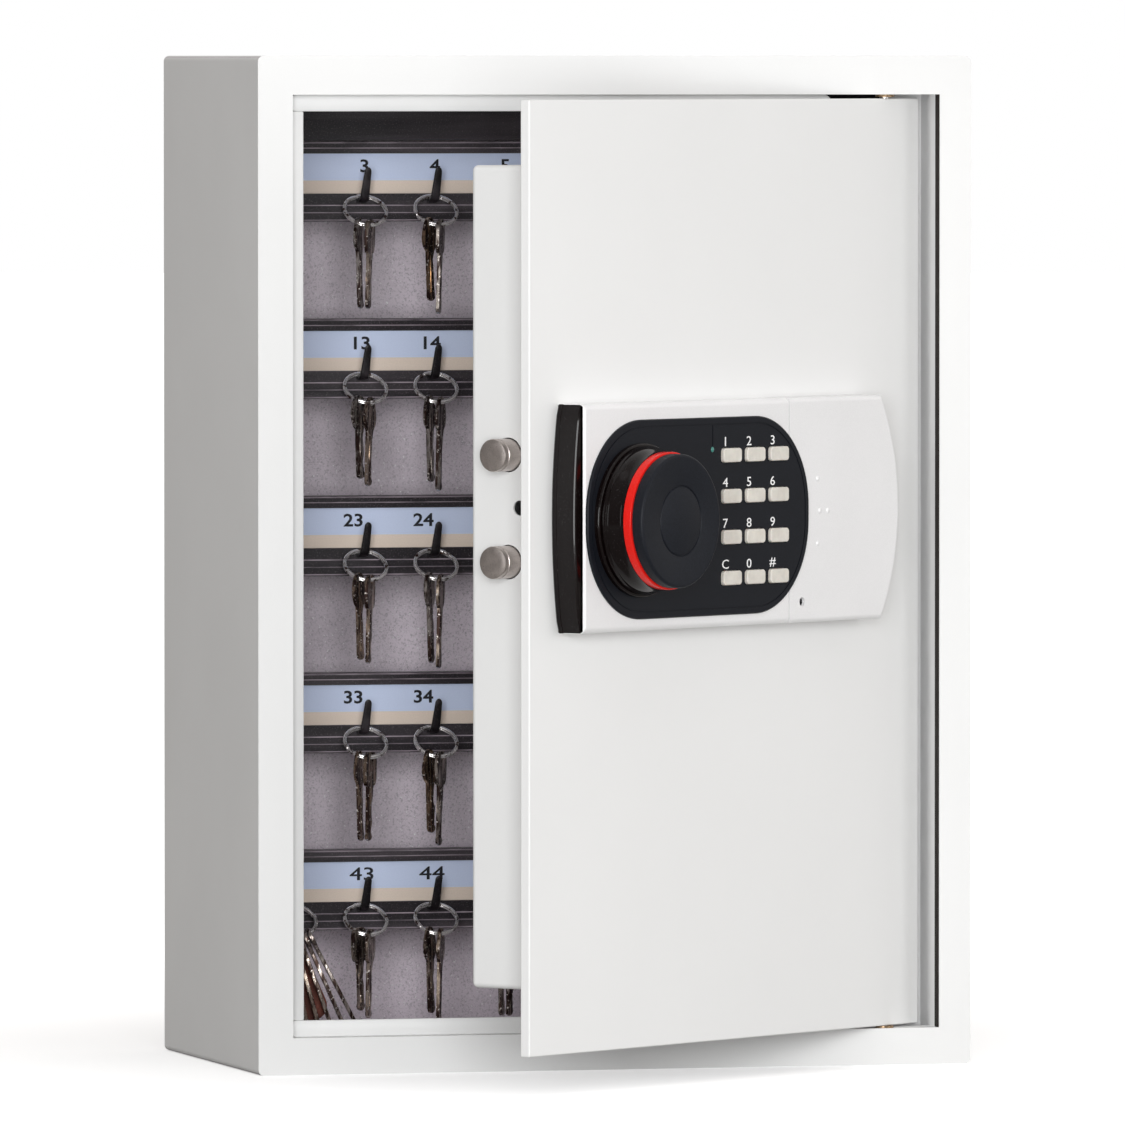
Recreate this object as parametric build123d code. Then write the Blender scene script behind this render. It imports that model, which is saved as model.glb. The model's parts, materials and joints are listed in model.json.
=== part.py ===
from build123d import *
import os
from math import cos, pi, radians, sin

# Electronic key cabinet. Row frame: origin at the centre of the four wall fixing holes on the rear face,
# +X to the right seen from the front, -Y out of the front, +Z up. The door is stored ajar.

# ---- driving dimensions (mm) ----
HEIGHT = 550.0
WIDTH = 400.0
DEPTH = 220.0
SHEET = 1.5

FLANGE_LEFT = 19.3
FLANGE_RIGHT = 17.8
FLANGE_TOP = 21.0
FLANGE_BOTTOM = 20.0
RETURN_DEPTH = 20.0
HINGE_RETURN_DEPTH = 37.0
HINGE_LIP = 22.0
STOP_SETBACK = 9.5
STOP_LIP_LEFT = 8.4
STOP_LIP_TOP = 9.2
STOP_LIP_BOTTOM = 8.9
STOP_NOTCH = 29.0

FIXING_SPACING_X = 300.0
FIXING_SPACING_Z = 400.0
FIXING_HOLE_R = 5.0
BODY_CORNER_R = 3.0
BODY_INSIDE_R = 1.5
BACK_CORNER_R = 1.8
BACK_PLAY = 0.1

DOOR_OPEN = 39.0
DOOR_PLATE = 6.0
DOOR_RECESS = 2.5
PIVOT_INSET = 29.7
FREE_EDGE = 331.0
HINGE_EDGE = -28.0
GAP_TOP = 2.2
GAP_BOTTOM = 1.4
PIN_R = 2.5
PIN_PLAY = 0.05
PIN_SEAT = 25.0
PIN_REACH = 5.5
BUSH_R = 4.0
BUSH_FLANGE_R = 5.2
BUSH_DEEP = 6.0
PLATE_EDGE_R = 0.8

PAN_SHEET = 1.2
PAN_FREE_SIDE = 304.5
PAN_HINGE_SIDE = 24.0
PAN_TOP = 217.0
PAN_BOTTOM = -220.0
PAN_DEPTH = 52.0
PAN_EDGE_R = 3.0
PAN_SCREW_INSET_S = 16.0
PAN_SCREW_INSET_Z = 24.0
POST_R = 5.0
CABLE_HOLE_R = 4.0
CABLE_HOLE_Z = 35.6
CABLE_HOLE_DEPTH = 20.0
SCREW_HEAD_R = 4.0
SCREW_R = 2.0
SCREW_SLOT_LONG = 5.2
SCREW_SLOT_WIDE = 1.0

BOLT_R = 8.7
BOLT_HEIGHTS = (6.8, 63.6)
BOLT_SETBACK = 27.5
BOLT_TIP = 318.5
BOLT_ROOT = 250.0
BOLT_PLAY = 0.1
BOLT_CHAMFER = 0.7
GUIDE_HALF = 13.0
GUIDE_S = (270.0, 290.0)
CARRIAGE_DEPTH = 10.0
CARRIAGE_THICK = 4.0
CARRIAGE_S = 200.0
CARRIAGE_BELOW = 15.0
CARRIAGE_ABOVE = 12.0
CATCH_HALF = 3.8
CATCH_HIGH = 6.0
SOLENOID_S = 225.0
SOLENOID_HALF = 11.0
SOLENOID_DEEP = 22.0
SOLENOID_AXIS = 12.0
SOLENOID_GAP = 16.0
SOLENOID_TALL = 36.0
PLUNGER_R = 3.0
PLUNGER_BORE_R = 3.4
PLUNGER_FLANGE_R = 4.6
SPRING_R = 4.3

KNOB_S = 255.8
KNOB_Z = 28.7
CRANK_R = 11.1
CRANK_REST = 45.0
CRANK_PIN_R = 2.5
SPINDLE_R = 5.0
SPINDLE_HUB_R = 9.0
CRANK_THICK = 4.0
CRANK_SLOT_PLAY = 1.2
BUSH_BORE_R = 7.0
BUSH_RIM_R = 10.0

LOCK_PROUD = 16.0
LOCK_WALL = 2.0
LOCK_BOTTOM = -30.2
LOCK_TOP = 91.0
LOCK_LEFT = 305.0
LOCK_SPLIT = 117.0
LOCK_EDGE_R = 3.0
LOCK_SCREW_S = (128.0, 294.0)
LOCK_SCREW_INSET = 9.0
LOCK_SCREW_R = 1.8
LOCK_BOSS_R = 4.0
COVER_WALL = 1.8
COVER_EDGE_R = 2.5
COVER_LIFT = 0.4
TONGUE_INSET = 2.5
TRAY_S = (32.0, 88.0)
TRAY_HALF_HIGH = 27.0
TRAY_DEEP = 11.0
TRAY_WALL = 2.0
CELL_R = 5.25
CELL_HALF = 21.5
CELL_PITCH = 13.0
CELL_FIRST_S = 40.5
NUB_R = 1.9
COVER_GAP = 0.8
PORT_S = 104.5
PORT_Z = -19.0
PORT_R = 2.4
LOCK_RIGHT_MID = 12.5
LOCK_RIGHT_CORNER = 29.0
CAP_CORNER = 307.0
CAP_MID = 311.5
CAP_CHAMFER = 1.8
PANEL_LEFT = 302.6
PANEL_RIGHT = 100.0
PANEL_TOP = 82.0
PANEL_BOTTOM = -24.0
PANEL_CORNER = 49.0
PANEL_THICK = 1.5
PANEL_GROOVE_INSET = 3.4
PANEL_GROOVE_WIDE = 0.8
PANEL_GROOVE_DEEP = 0.4
LED_S = 189.4
LED_Z = 64.8
LED_R = 1.5
PANEL_CHAMFER = 0.6
KNOB_BORE_R = 13.0

COLLAR_R = 41.0
COLLAR_THICK = 3.0
KNOB_GAP = 0.3
SKIRT_R = 39.5
SKIRT_TALL = 12.0
ACCENT_R = 36.6
ACCENT_THICK = 5.0
ACCENT_BORE_R = 20.0
CAP_R = 35.6
CAP_THICK = 7.0
CAP_RIM_R = 1.6
CAP_GROOVE_R = 19.0
SKIRT_WALL = 5.0
SKIRT_ROOF = 3.0
SKIRT_TAPER = 5.0

KEY_COLUMNS = 3
KEY_FIRST_S = 173.0
KEY_PITCH_S = 21.8
KEY_FIRST_Z = 61.5
KEY_PITCH_Z = 21.9
KEY_CAP_WIDE = 16.8
KEY_CAP_HIGH = 7.6
KEY_CAP_PROUD = 1.8
KEY_PLAY = 0.35
KEY_CORNER_R = 2.0
KEY_EDGE_R = 0.7
KEY_FOOT_GROW = 0.9
BOARD_S = (135.0, 288.0)
BOARD_N = (6.0, 7.6)
BOARD_INSET = 14.0
MAT_HALF_WIDE = 31.0
MAT_HALF_HIGH = 40.0
MAT_TOP = 10.4

BAR_COUNT = 5
BAR_TOP = 221.3
BAR_PITCH = 97.5
BAR_FACE = -60.0
BAR_HALF = 194.0
LEDGE_HIGH = 6.6
LABEL_HIGH = 22.0
RAIL_HIGH = 15.4
LEDGE_PROUD = 2.2
RAIL_PROUD = 4.0
RAIL_GROOVE_DROPS = (6.5, 10.5)
RAIL_GROOVE_HIGH = 1.0
RAIL_GROOVE_DEEP = 0.6
STIFFENER_INSET = 20.0
STIFFENER_DEEP = 12.0
LABEL_THICK = 0.6
UPRIGHT_WIDE = 18.0
UPRIGHT_DEEP = 28.0
UPRIGHT_END_GAP = 6.0
HOOKS_PER_BAR = 10
EMPTY_HOOKS = (2, 12, 22, 32)
HOOK_PITCH = 40.0
HOOK_SHIFT = -4.0
HOOK_WIDE = 5.5
HOOK_THICK = 2.0
HOOK_SHELF_DROP = 26.0
HOOK_REACH = 9.0
HOOK_TIP_REACH = 13.5
HOOK_TIP_DROP = 7.5
HOOK_BEND_R = 3.0
RING_R = 11.7
RING_WIRE_R = 1.1
RING_TILT = 49.0
RING_BACK = 6.0
RING_DROP = 23.6
KEY_THICK = 2.0
KEY_BOW_WIDE = 17.0
KEY_BOW_HIGH = 20.0
KEY_BLADE_WIDE = 7.5
KEY_HOLE_R = 2.5
KEY_HANG_MIDDLE = -14.0
KEY_HANG_ANGLE = 16.0
BUNCH_COUNT = 5
BUNCH_KEY = (11.0, 13.0, 4.4, 62.0)
BUNCH_SPREAD = 15.0
BUNCH_SWING = -12.0
BUNCH_FAN = -4.0
BUNCH_TURN = 84.0
FOB_WIDE = 18.0
FOB_LONG = 66.0
FOB_THICK = 2.5
FOB_HOLE_R = 3.0
FOB_HANG = 6.0
FOB_SWING = -24.0

BUTTON_NAMES = ("1", "2", "3", "4", "5", "6", "7", "8", "9", "clear", "0", "hash")

# ---- worked out ----
LEFT = -WIDTH / 2
RIGHT = WIDTH / 2
TOP = HEIGHT / 2
BOTTOM = -HEIGHT / 2
FRONT = -DEPTH
OPEN_LEFT = LEFT + FLANGE_LEFT
OPEN_RIGHT = RIGHT - FLANGE_RIGHT
OPEN_TOP = TOP - FLANGE_TOP
OPEN_BOTTOM = BOTTOM + FLANGE_BOTTOM
PIVOT_X = OPEN_RIGHT - PIVOT_INSET
HALF_PLATE = DOOR_PLATE / 2
PIVOT_Y = FRONT + DOOR_RECESS + HALF_PLATE
DOOR_TOP = OPEN_TOP - GAP_TOP
DOOR_BOTTOM = OPEN_BOTTOM + GAP_BOTTOM
LOCK_MID_Z = (LOCK_TOP + LOCK_BOTTOM) / 2
PANEL_FACE = LOCK_PROUD + PANEL_THICK
SKIRT_BASE = PANEL_FACE + COLLAR_THICK + KNOB_GAP
ACCENT_BASE = SKIRT_BASE + SKIRT_TALL
CAP_BASE = ACCENT_BASE + ACCENT_THICK
CAP_FACE = CAP_BASE + CAP_THICK
SPINDLE_END = SKIRT_BASE + SKIRT_TALL - SKIRT_ROOF
BOLT_TRAVEL = 10.0 * pi / 2


# ---- helpers ----
def block(low, high):
    """A box between two opposite corners."""
    size = [h - l for l, h in zip(low, high)]
    mid = [(h + l) / 2 for l, h in zip(low, high)]
    return Pos(*mid) * Box(*size)


def rod(radius, start, end):
    """A round bar between two points."""
    run = Vector(*end) - Vector(*start)
    plane = Plane(origin=start, z_dir=run.normalized())
    return extrude(plane * Circle(radius), run.length)


def door_block(s, n, z):
    """A box on the door: s from the pivot to the free edge, n out of the outer face, z up."""
    return block((-s[1], -HALF_PLATE - n[1], z[0]), (-s[0], -HALF_PLATE - n[0], z[1]))


def door_rod(radius, s, z, n):
    """A round bar square to the door, from n[0] to n[1] out of the outer face."""
    return rod(radius, (-s, -HALF_PLATE - n[1], z), (-s, -HALF_PLATE - n[0], z))


def door_profile(face, n):
    """A door-plane profile drawn in (-s, z) and given its thickness from n[0] to n[1]."""
    plane = Plane(origin=(0, -HALF_PLATE - n[0], 0), x_dir=(1, 0, 0), z_dir=(0, -1, 0))
    return extrude(plane * face, n[1] - n[0])


def ajar(shape):
    """Swings a piece modelled on the closed door to its stored angle."""
    return Pos(PIVOT_X, PIVOT_Y, 0) * Rot(0, 0, DOOR_OPEN) * shape


def write(name, *shapes):
    """Writes one node from one or more shapes."""
    pieces = [solid for shape in shapes for solid in shape.solids()]
    body = pieces[0] if len(pieces) == 1 else Compound(children=pieces)
    export_step(body, os.path.join("parts", name + ".step"))


# ---- body ----
def body_wrap():
    outer = block((LEFT, FRONT + SHEET, BOTTOM), (RIGHT, 0, TOP))
    outer = fillet(outer.edges().filter_by(Axis.Y), BODY_CORNER_R)
    inner = block((LEFT + SHEET, FRONT, BOTTOM + SHEET), (RIGHT - SHEET, 1, TOP - SHEET))
    return outer - fillet(inner.edges().filter_by(Axis.Y), BODY_INSIDE_R)


def back_panel():
    inset = SHEET + BACK_PLAY
    panel = block((LEFT + inset, -SHEET, BOTTOM + inset), (RIGHT - inset, 0, TOP - inset))
    panel = fillet(panel.edges().filter_by(Axis.Y), BACK_CORNER_R)
    for x in (-FIXING_SPACING_X / 2, FIXING_SPACING_X / 2):
        for z in (-FIXING_SPACING_Z / 2, FIXING_SPACING_Z / 2):
            panel -= rod(FIXING_HOLE_R, (x, -SHEET - 1, z), (x, 1, z))
    return panel


def front_frame():
    face = block((LEFT, FRONT, BOTTOM), (RIGHT, FRONT + SHEET, TOP))
    face = fillet(face.edges().filter_by(Axis.Y), BODY_CORNER_R)
    collar_low = (OPEN_LEFT - SHEET, FRONT, OPEN_BOTTOM - SHEET)
    collar_high = (OPEN_RIGHT + SHEET, FRONT + RETURN_DEPTH, OPEN_TOP + SHEET)
    frame = face + block(collar_low, collar_high)
    frame -= block((OPEN_LEFT, FRONT - 1, OPEN_BOTTOM), (OPEN_RIGHT, FRONT + RETURN_DEPTH + 1, OPEN_TOP))
    side_low = (OPEN_RIGHT, FRONT, OPEN_BOTTOM - SHEET)
    side_high = (OPEN_RIGHT + SHEET, FRONT + HINGE_RETURN_DEPTH, OPEN_TOP + SHEET)
    frame += block(side_low, side_high)
    lip_low = (OPEN_RIGHT - HINGE_LIP, FRONT + HINGE_RETURN_DEPTH, OPEN_BOTTOM - SHEET)
    lip_high = (OPEN_RIGHT + SHEET, FRONT + HINGE_RETURN_DEPTH + SHEET, OPEN_TOP + SHEET)
    frame += block(lip_low, lip_high)
    for z in (OPEN_TOP, OPEN_BOTTOM):
        frame -= rod(BUSH_R, (PIVOT_X, PIVOT_Y, z - 3), (PIVOT_X, PIVOT_Y, z + 3))
    return frame


def stop_strip(low_x, high_x, low_z, high_z, lip, side):
    """An angle strip welded inside the return: a lip across the opening and a leg along the return."""
    y0 = FRONT + STOP_SETBACK
    y1 = FRONT + RETURN_DEPTH
    front = {"left": ((low_x, y0, low_z), (low_x + lip, y0 + SHEET, high_z)),
             "top": ((low_x, y0, high_z - lip), (high_x, y0 + SHEET, high_z)),
             "bottom": ((low_x, y0, low_z), (high_x, y0 + SHEET, low_z + lip))}[side]
    leg = {"left": ((low_x, y0, low_z), (low_x + SHEET, y1, high_z)),
           "top": ((low_x, y0, high_z - SHEET), (high_x, y1, high_z)),
           "bottom": ((low_x, y0, low_z), (high_x, y1, low_z + SHEET))}[side]
    return block(*front) + block(*leg)


def stops():
    right_end = PIVOT_X - STOP_NOTCH
    left_low = OPEN_BOTTOM + STOP_LIP_BOTTOM
    left_high = OPEN_TOP - STOP_LIP_TOP
    return [
        stop_strip(OPEN_LEFT, right_end, OPEN_BOTTOM, OPEN_TOP, STOP_LIP_TOP, "top"),
        stop_strip(OPEN_LEFT, right_end, OPEN_BOTTOM, OPEN_TOP, STOP_LIP_BOTTOM, "bottom"),
        stop_strip(OPEN_LEFT, OPEN_RIGHT, left_low, left_high, STOP_LIP_LEFT, "left"),
    ]


def hinge_bushes():
    """Two flanged bushes in the frame's returns, with a bore that the door's pins turn in."""
    bushes = []
    for z, out, collar in ((OPEN_TOP, 1, GAP_TOP - 0.8), (OPEN_BOTTOM, -1, GAP_BOTTOM - 0.2)):
        top = (PIVOT_X, PIVOT_Y, z + out * BUSH_DEEP)
        mouth = (PIVOT_X, PIVOT_Y, z - out * collar)
        bush = rod(BUSH_R, (PIVOT_X, PIVOT_Y, z), top) + rod(BUSH_FLANGE_R, mouth, (PIVOT_X, PIVOT_Y, z))
        bore_end = (PIVOT_X, PIVOT_Y, z + out * (BUSH_DEEP + 1))
        bushes.append(bush - rod(PIN_R + PIN_PLAY, (PIVOT_X, PIVOT_Y, z - out * 4), bore_end))
    return bushes


# ---- key bars ----
def bar_tops():
    return [BAR_TOP - BAR_PITCH * i for i in range(BAR_COUNT)]


def bar_uprights():
    """Two slim angles welded to the side walls, which carry the key bars."""
    inner = RIGHT - SHEET
    back = BAR_FACE + SHEET
    uprights = []
    for side in (-1, 1):
        wall = sorted((side * inner, side * (inner - SHEET)))
        front = sorted((side * inner, side * (inner - UPRIGHT_WIDE)))
        low = BOTTOM + UPRIGHT_END_GAP
        high = TOP - UPRIGHT_END_GAP
        web = block((wall[0], back, low), (wall[1], back + UPRIGHT_DEEP, high))
        uprights.append(web + block((front[0], back, low), (front[1], back + SHEET, high)))
    return uprights


def key_bar(top):
    """A folded bar: ledge over the label, flat label face, and a ribbed hook rail below."""
    rail_top = top - LABEL_HIGH
    rail_low = rail_top - RAIL_HIGH
    half = BAR_HALF
    ledge_top = top + LEDGE_HIGH
    rail_face = BAR_FACE - RAIL_PROUD
    bar = block((-half, BAR_FACE, rail_low), (half, BAR_FACE + SHEET, ledge_top))
    bar += block((-half, BAR_FACE - LEDGE_PROUD, top), (half, BAR_FACE, ledge_top))
    bar += block((-half, rail_face, rail_low), (half, BAR_FACE, rail_top))
    half_groove = RAIL_GROOVE_HIGH / 2
    for drop in RAIL_GROOVE_DROPS:
        z = rail_top - drop
        groove_low = (-half, rail_face - 1, z - half_groove)
        groove_high = (half, rail_face + RAIL_GROOVE_DEEP, z + half_groove)
        bar -= block(groove_low, groove_high)
    side = half - STIFFENER_INSET
    back = BAR_FACE + STIFFENER_DEEP
    bar += block((-side, BAR_FACE, ledge_top - SHEET), (side, back, ledge_top))
    bar += block((-side, BAR_FACE, rail_low), (side, back, rail_low + SHEET))
    return bar


def label_strips():
    strips = []
    for top in bar_tops():
        low = (-BAR_HALF + 1, BAR_FACE - LABEL_THICK, top - LABEL_HIGH)
        strips.append(block(low, (BAR_HALF - 1, BAR_FACE, top)))
    return strips


def hook_places():
    """X of each hook and the label top of its bar."""
    first = HOOK_SHIFT - HOOK_PITCH * (HOOKS_PER_BAR - 1) / 2
    return [(first + HOOK_PITCH * i, top) for top in bar_tops() for i in range(HOOKS_PER_BAR)]


def loaded_hooks():
    """Index and place of every hook that carries a ring."""
    return [(i, place) for i, place in enumerate(hook_places()) if i + 1 not in EMPTY_HOOKS]


def hook(x, top):
    """A flat prong: straight out of the rail, then up and slightly forward."""
    root = BAR_FACE - RAIL_PROUD
    shelf = top - HOOK_SHELF_DROP
    tip = (root - HOOK_TIP_REACH, top - HOOK_TIP_DROP)
    line = FilletPolyline((root, shelf), (root - HOOK_REACH, shelf), tip, radius=HOOK_BEND_R)
    plane = Plane(origin=(x - HOOK_WIDE / 2, 0, 0), x_dir=(0, 1, 0), z_dir=(1, 0, 0))
    return extrude(plane * trace(line, HOOK_THICK), HOOK_WIDE)


def ring_centre(x, top):
    """The ring's top rests on the hook's shelf and its lower edge leans forward."""
    half = RING_R * cos(radians(RING_TILT))
    lean = RING_R * sin(radians(RING_TILT))
    return (x, BAR_FACE - RING_BACK - lean, top - RING_DROP - half)


def key_ring(x, top):
    return Pos(*ring_centre(x, top)) * Rot(90 - RING_TILT, 0, 0) * Torus(RING_R, RING_WIRE_R)


def plain_key(bow_wide, bow_high, blade_wide, length):
    """A flat key hanging from the origin: round bow with a hole, then a blade with a blunt point."""
    drop = bow_high / 2 - 3.0
    bow = Pos(0, -drop) * Ellipse(bow_wide / 2, bow_high / 2)
    blade_top = -drop - bow_high / 2 + 2.0
    tip = 3.0 - length
    half = blade_wide / 2
    corners = ((-half, blade_top), (half, blade_top), (half, tip + 3.0), (0.0, tip), (-half, tip + 3.0))
    blade = make_face(Polyline(*corners, close=True))
    outline = bow + blade - Circle(KEY_HOLE_R)
    plane = Plane(origin=(0, KEY_THICK / 2, 0), x_dir=(1, 0, 0), z_dir=(0, -1, 0))
    return extrude(plane * outline, KEY_THICK)


def ring_point(x, top, angle):
    """A point on the ring's wire, at an angle from its lowest point towards +X."""
    centre = ring_centre(x, top)
    drop = RING_R * cos(radians(angle))
    lean = drop * sin(radians(RING_TILT))
    return (x + RING_R * sin(radians(angle)), centre[1] - lean, centre[2] - drop * cos(radians(RING_TILT)))


def key_pair(x, top, index):
    """Two keys on the lower part of a ring, each turned its own way about the vertical."""
    lengths = (46.0 + 2.0 * (index % 3), 49.0 + 3.0 * (index % 2))
    turns = (50.0 + 5.0 * (index % 3), 56.0 + 3.0 * (index % 4))
    pair = []
    for side, length, turn in zip((-1, 1), lengths, turns):
        key = plain_key(KEY_BOW_WIDE, KEY_BOW_HIGH, KEY_BLADE_WIDE, length)
        hang = Pos(*ring_point(x, top, KEY_HANG_MIDDLE + side * KEY_HANG_ANGLE))
        pair.append(hang * Rot(0, side * 1.5, turn) * key)
    return pair


def bunch_place():
    """The hook of the second column on the lowest bar carries the bunch of long keys."""
    return hook_places()[-HOOKS_PER_BAR + 1]


def long_key_bunch():
    """Five long keys side by side on one ring, swung towards +X and fanned out."""
    x, top = bunch_place()
    keys = []
    for i in range(BUNCH_COUNT):
        key = plain_key(*BUNCH_KEY)
        swing = BUNCH_SWING + BUNCH_FAN * i
        hang = Pos(*ring_point(x, top, BUNCH_SPREAD * (i - 2)))
        keys.append(hang * Rot(0, swing, 0) * Rot(0, 0, BUNCH_TURN) * key)
    return keys


def leather_fob():
    """A round-ended tag on the bunch's ring, swung the same way as the long keys."""
    x, top = bunch_place()
    tag = Pos(0, FOB_HANG - FOB_LONG / 2) * RectangleRounded(FOB_WIDE, FOB_LONG, FOB_WIDE / 2 - 0.5)
    tag -= Circle(FOB_HOLE_R)
    plane = Plane(origin=(0, FOB_THICK / 2, 0), x_dir=(1, 0, 0), z_dir=(0, -1, 0))
    return Pos(*ring_point(x, top, -90.0)) * Rot(0, FOB_SWING, 0) * extrude(plane * tag, FOB_THICK)


# ---- door ----
def door_plate():
    plate = door_block((HINGE_EDGE, FREE_EDGE), (-DOOR_PLATE, 0), (DOOR_BOTTOM, DOOR_TOP))
    plate = fillet(plate.edges(), PLATE_EDGE_R)
    for z, inward in ((DOOR_TOP, -1), (DOOR_BOTTOM, 1)):
        plate -= rod(PIN_R, (0, 0, z - inward), (0, 0, z + inward * PIN_SEAT))
    plate -= door_rod(BUSH_BORE_R, KNOB_S, KNOB_Z, (-DOOR_PLATE - 1, 1))
    for s, z in lock_screw_places():
        plate -= door_rod(SCREW_R, s, z, (-DOOR_PLATE - 1, 1))
    return plate


def hinge_pins():
    """Two pins pressed into the plate's top and bottom edges, on the pivot line."""
    top = rod(PIN_R, (0, 0, DOOR_TOP - PIN_SEAT), (0, 0, OPEN_TOP + PIN_REACH))
    bottom = rod(PIN_R, (0, 0, OPEN_BOTTOM - PIN_REACH), (0, 0, DOOR_BOTTOM + PIN_SEAT))
    return [top, bottom]


def pan_edges(box):
    """The upright corners of the tray and the edges round its back."""
    return box.edges().filter_by(Axis.Y) + box.faces().sort_by(Axis.Y)[-1].edges()


def door_pan():
    """The folded tray behind the door plate that covers the bolt work."""
    n0 = -DOOR_PLATE
    n1 = -DOOR_PLATE - PAN_DEPTH
    t = PAN_SHEET
    outer = door_block((PAN_HINGE_SIDE, PAN_FREE_SIDE), (n1, n0), (PAN_BOTTOM, PAN_TOP))
    outer = fillet(pan_edges(outer), PAN_EDGE_R)
    s_in = (PAN_HINGE_SIDE + t, PAN_FREE_SIDE - t)
    inner = door_block(s_in, (n1 + t, n0), (PAN_BOTTOM + t, PAN_TOP - t))
    inner = fillet(pan_edges(inner), PAN_EDGE_R - t)
    pan = outer - inner
    depth = -DOOR_PLATE - BOLT_SETBACK
    for z in BOLT_HEIGHTS:
        pan -= door_tube_hole(BOLT_R + 0.5, z, depth)
    pan -= door_tube_hole(CABLE_HOLE_R, CABLE_HOLE_Z, -DOOR_PLATE - CABLE_HOLE_DEPTH)
    for s, z in pan_screw_places():
        pan -= door_rod(SCREW_R + 0.2, s, z, (n1 - 1, n1 + t + 1))
    return pan


def door_tube_hole(radius, z, n):
    """A hole along the door's width through the free side of the pan."""
    y = -HALF_PLATE - n
    return rod(radius, (-PAN_FREE_SIDE - 2, y, z), (-PAN_FREE_SIDE + 6, y, z))


def pan_screw_places():
    across = (PAN_HINGE_SIDE + PAN_SCREW_INSET_S, PAN_FREE_SIDE - PAN_SCREW_INSET_S)
    up = (PAN_BOTTOM + PAN_SCREW_INSET_Z, PAN_TOP - PAN_SCREW_INSET_Z)
    return [(s, z) for s in across for z in up]


def pan_posts():
    """Threaded posts between the plate and the tray's back."""
    back = -DOOR_PLATE - PAN_DEPTH + PAN_SHEET
    posts = []
    for s, z in pan_screw_places():
        post = door_rod(POST_R, s, z, (back, -DOOR_PLATE))
        posts.append(post - door_rod(SCREW_R, s, z, (back, back + 12)))
    return posts


def pan_screws():
    back = -DOOR_PLATE - PAN_DEPTH
    screws = []
    for s, z in pan_screw_places():
        head = door_rod(SCREW_HEAD_R, s, z, (back - 2.4, back))
        head = fillet(head.edges().sort_by(Axis.Y)[-1], 1.0)
        slot_s = (s - SCREW_SLOT_LONG / 2, s + SCREW_SLOT_LONG / 2)
        slot_z = (z - SCREW_SLOT_WIDE / 2, z + SCREW_SLOT_WIDE / 2)
        head -= door_block(slot_s, (back - 3, back - 1.2), slot_z)
        screws.append(head + door_rod(SCREW_R, s, z, (back, back + 10)))
    return screws


def bolt_guides():
    """Two blocks on the plate, bored for the locking bolts."""
    depth = -DOOR_PLATE - BOLT_SETBACK
    guides = []
    for z in BOLT_HEIGHTS:
        guide = door_block(GUIDE_S, (depth - GUIDE_HALF, -DOOR_PLATE), (z - GUIDE_HALF, z + GUIDE_HALF))
        y = -HALF_PLATE - depth
        bore = rod(BOLT_R + BOLT_PLAY, (-GUIDE_S[1] - 5, y, z), (-GUIDE_S[0] + 5, y, z))
        guides.append(guide - bore)
    return guides


def locking_bolts():
    y = HALF_PLATE + BOLT_SETBACK
    bolts = []
    for z in BOLT_HEIGHTS:
        bolt = rod(BOLT_R, (-BOLT_TIP, y, z), (-BOLT_ROOT, y, z))
        bolts.append(chamfer(bolt.edges().sort_by(Axis.X)[0], BOLT_CHAMFER))
    return bolts


def crank_pin_rest():
    turn = radians(CRANK_REST)
    return (KNOB_S - CRANK_R * sin(turn), KNOB_Z + CRANK_R * cos(turn))


def carriage_low():
    return BOLT_HEIGHTS[0] - CARRIAGE_BELOW


def bolt_carriage():
    """A flat slide that carries both bolts, with a tall slot for the crank pin and two catch notches."""
    n = (-DOOR_PLATE - CARRIAGE_DEPTH - CARRIAGE_THICK, -DOOR_PLATE - CARRIAGE_DEPTH)
    low = carriage_low()
    high = BOLT_HEIGHTS[1] + CARRIAGE_ABOVE
    slide = door_block((CARRIAGE_S, BOLT_ROOT + 1), n, (low, high))
    slide += door_block((BOLT_ROOT, 262), n, (26.5, 46.5))
    for z in BOLT_HEIGHTS:
        slide += door_block((BOLT_ROOT - 4, BOLT_ROOT), (-DOOR_PLATE - 38, n[1]), (z - 11.5, z + 11.5))
    pin_s, pin_z = crank_pin_rest()
    through = (n[0] - 1, n[1] + 1)
    slot_half = CRANK_PIN_R + 0.8
    slot_low = pin_z - CRANK_PIN_R - CRANK_SLOT_PLAY
    slot_high = KNOB_Z + CRANK_R + CRANK_PIN_R + CRANK_SLOT_PLAY
    slide -= door_block((pin_s - slot_half, pin_s + slot_half), through, (slot_low, slot_high))
    for s in (SOLENOID_S, SOLENOID_S - BOLT_TRAVEL):
        slide -= door_block((s - CATCH_HALF, s + CATCH_HALF), through, (low - 1, low + CATCH_HIGH))
    return slide


def spindle_crank():
    """The knob's spindle with a crank arm and its drive pin inside the tray."""
    pin_s, pin_z = crank_pin_rest()
    n_in = -DOOR_PLATE - 2
    spindle = door_rod(SPINDLE_R, KNOB_S, KNOB_Z, (n_in - 4.5, SPINDLE_END))
    arm_n = (n_in - CRANK_THICK, n_in)
    hub = door_rod(SPINDLE_HUB_R, KNOB_S, KNOB_Z, arm_n)
    end = door_rod(SPINDLE_R, pin_s, pin_z, arm_n)
    tilt = Pos(-(KNOB_S + pin_s) / 2, 0, (KNOB_Z + pin_z) / 2) * Rot(0, CRANK_REST, 0)
    arm_y = -HALF_PLATE - n_in
    web = tilt * block((-SPINDLE_R, arm_y, -CRANK_R / 2), (SPINDLE_R, arm_y + CRANK_THICK, CRANK_R / 2))
    pin = door_rod(CRANK_PIN_R, pin_s, pin_z, (-DOOR_PLATE - 17, n_in))
    return spindle + hub + end + web + pin


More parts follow.
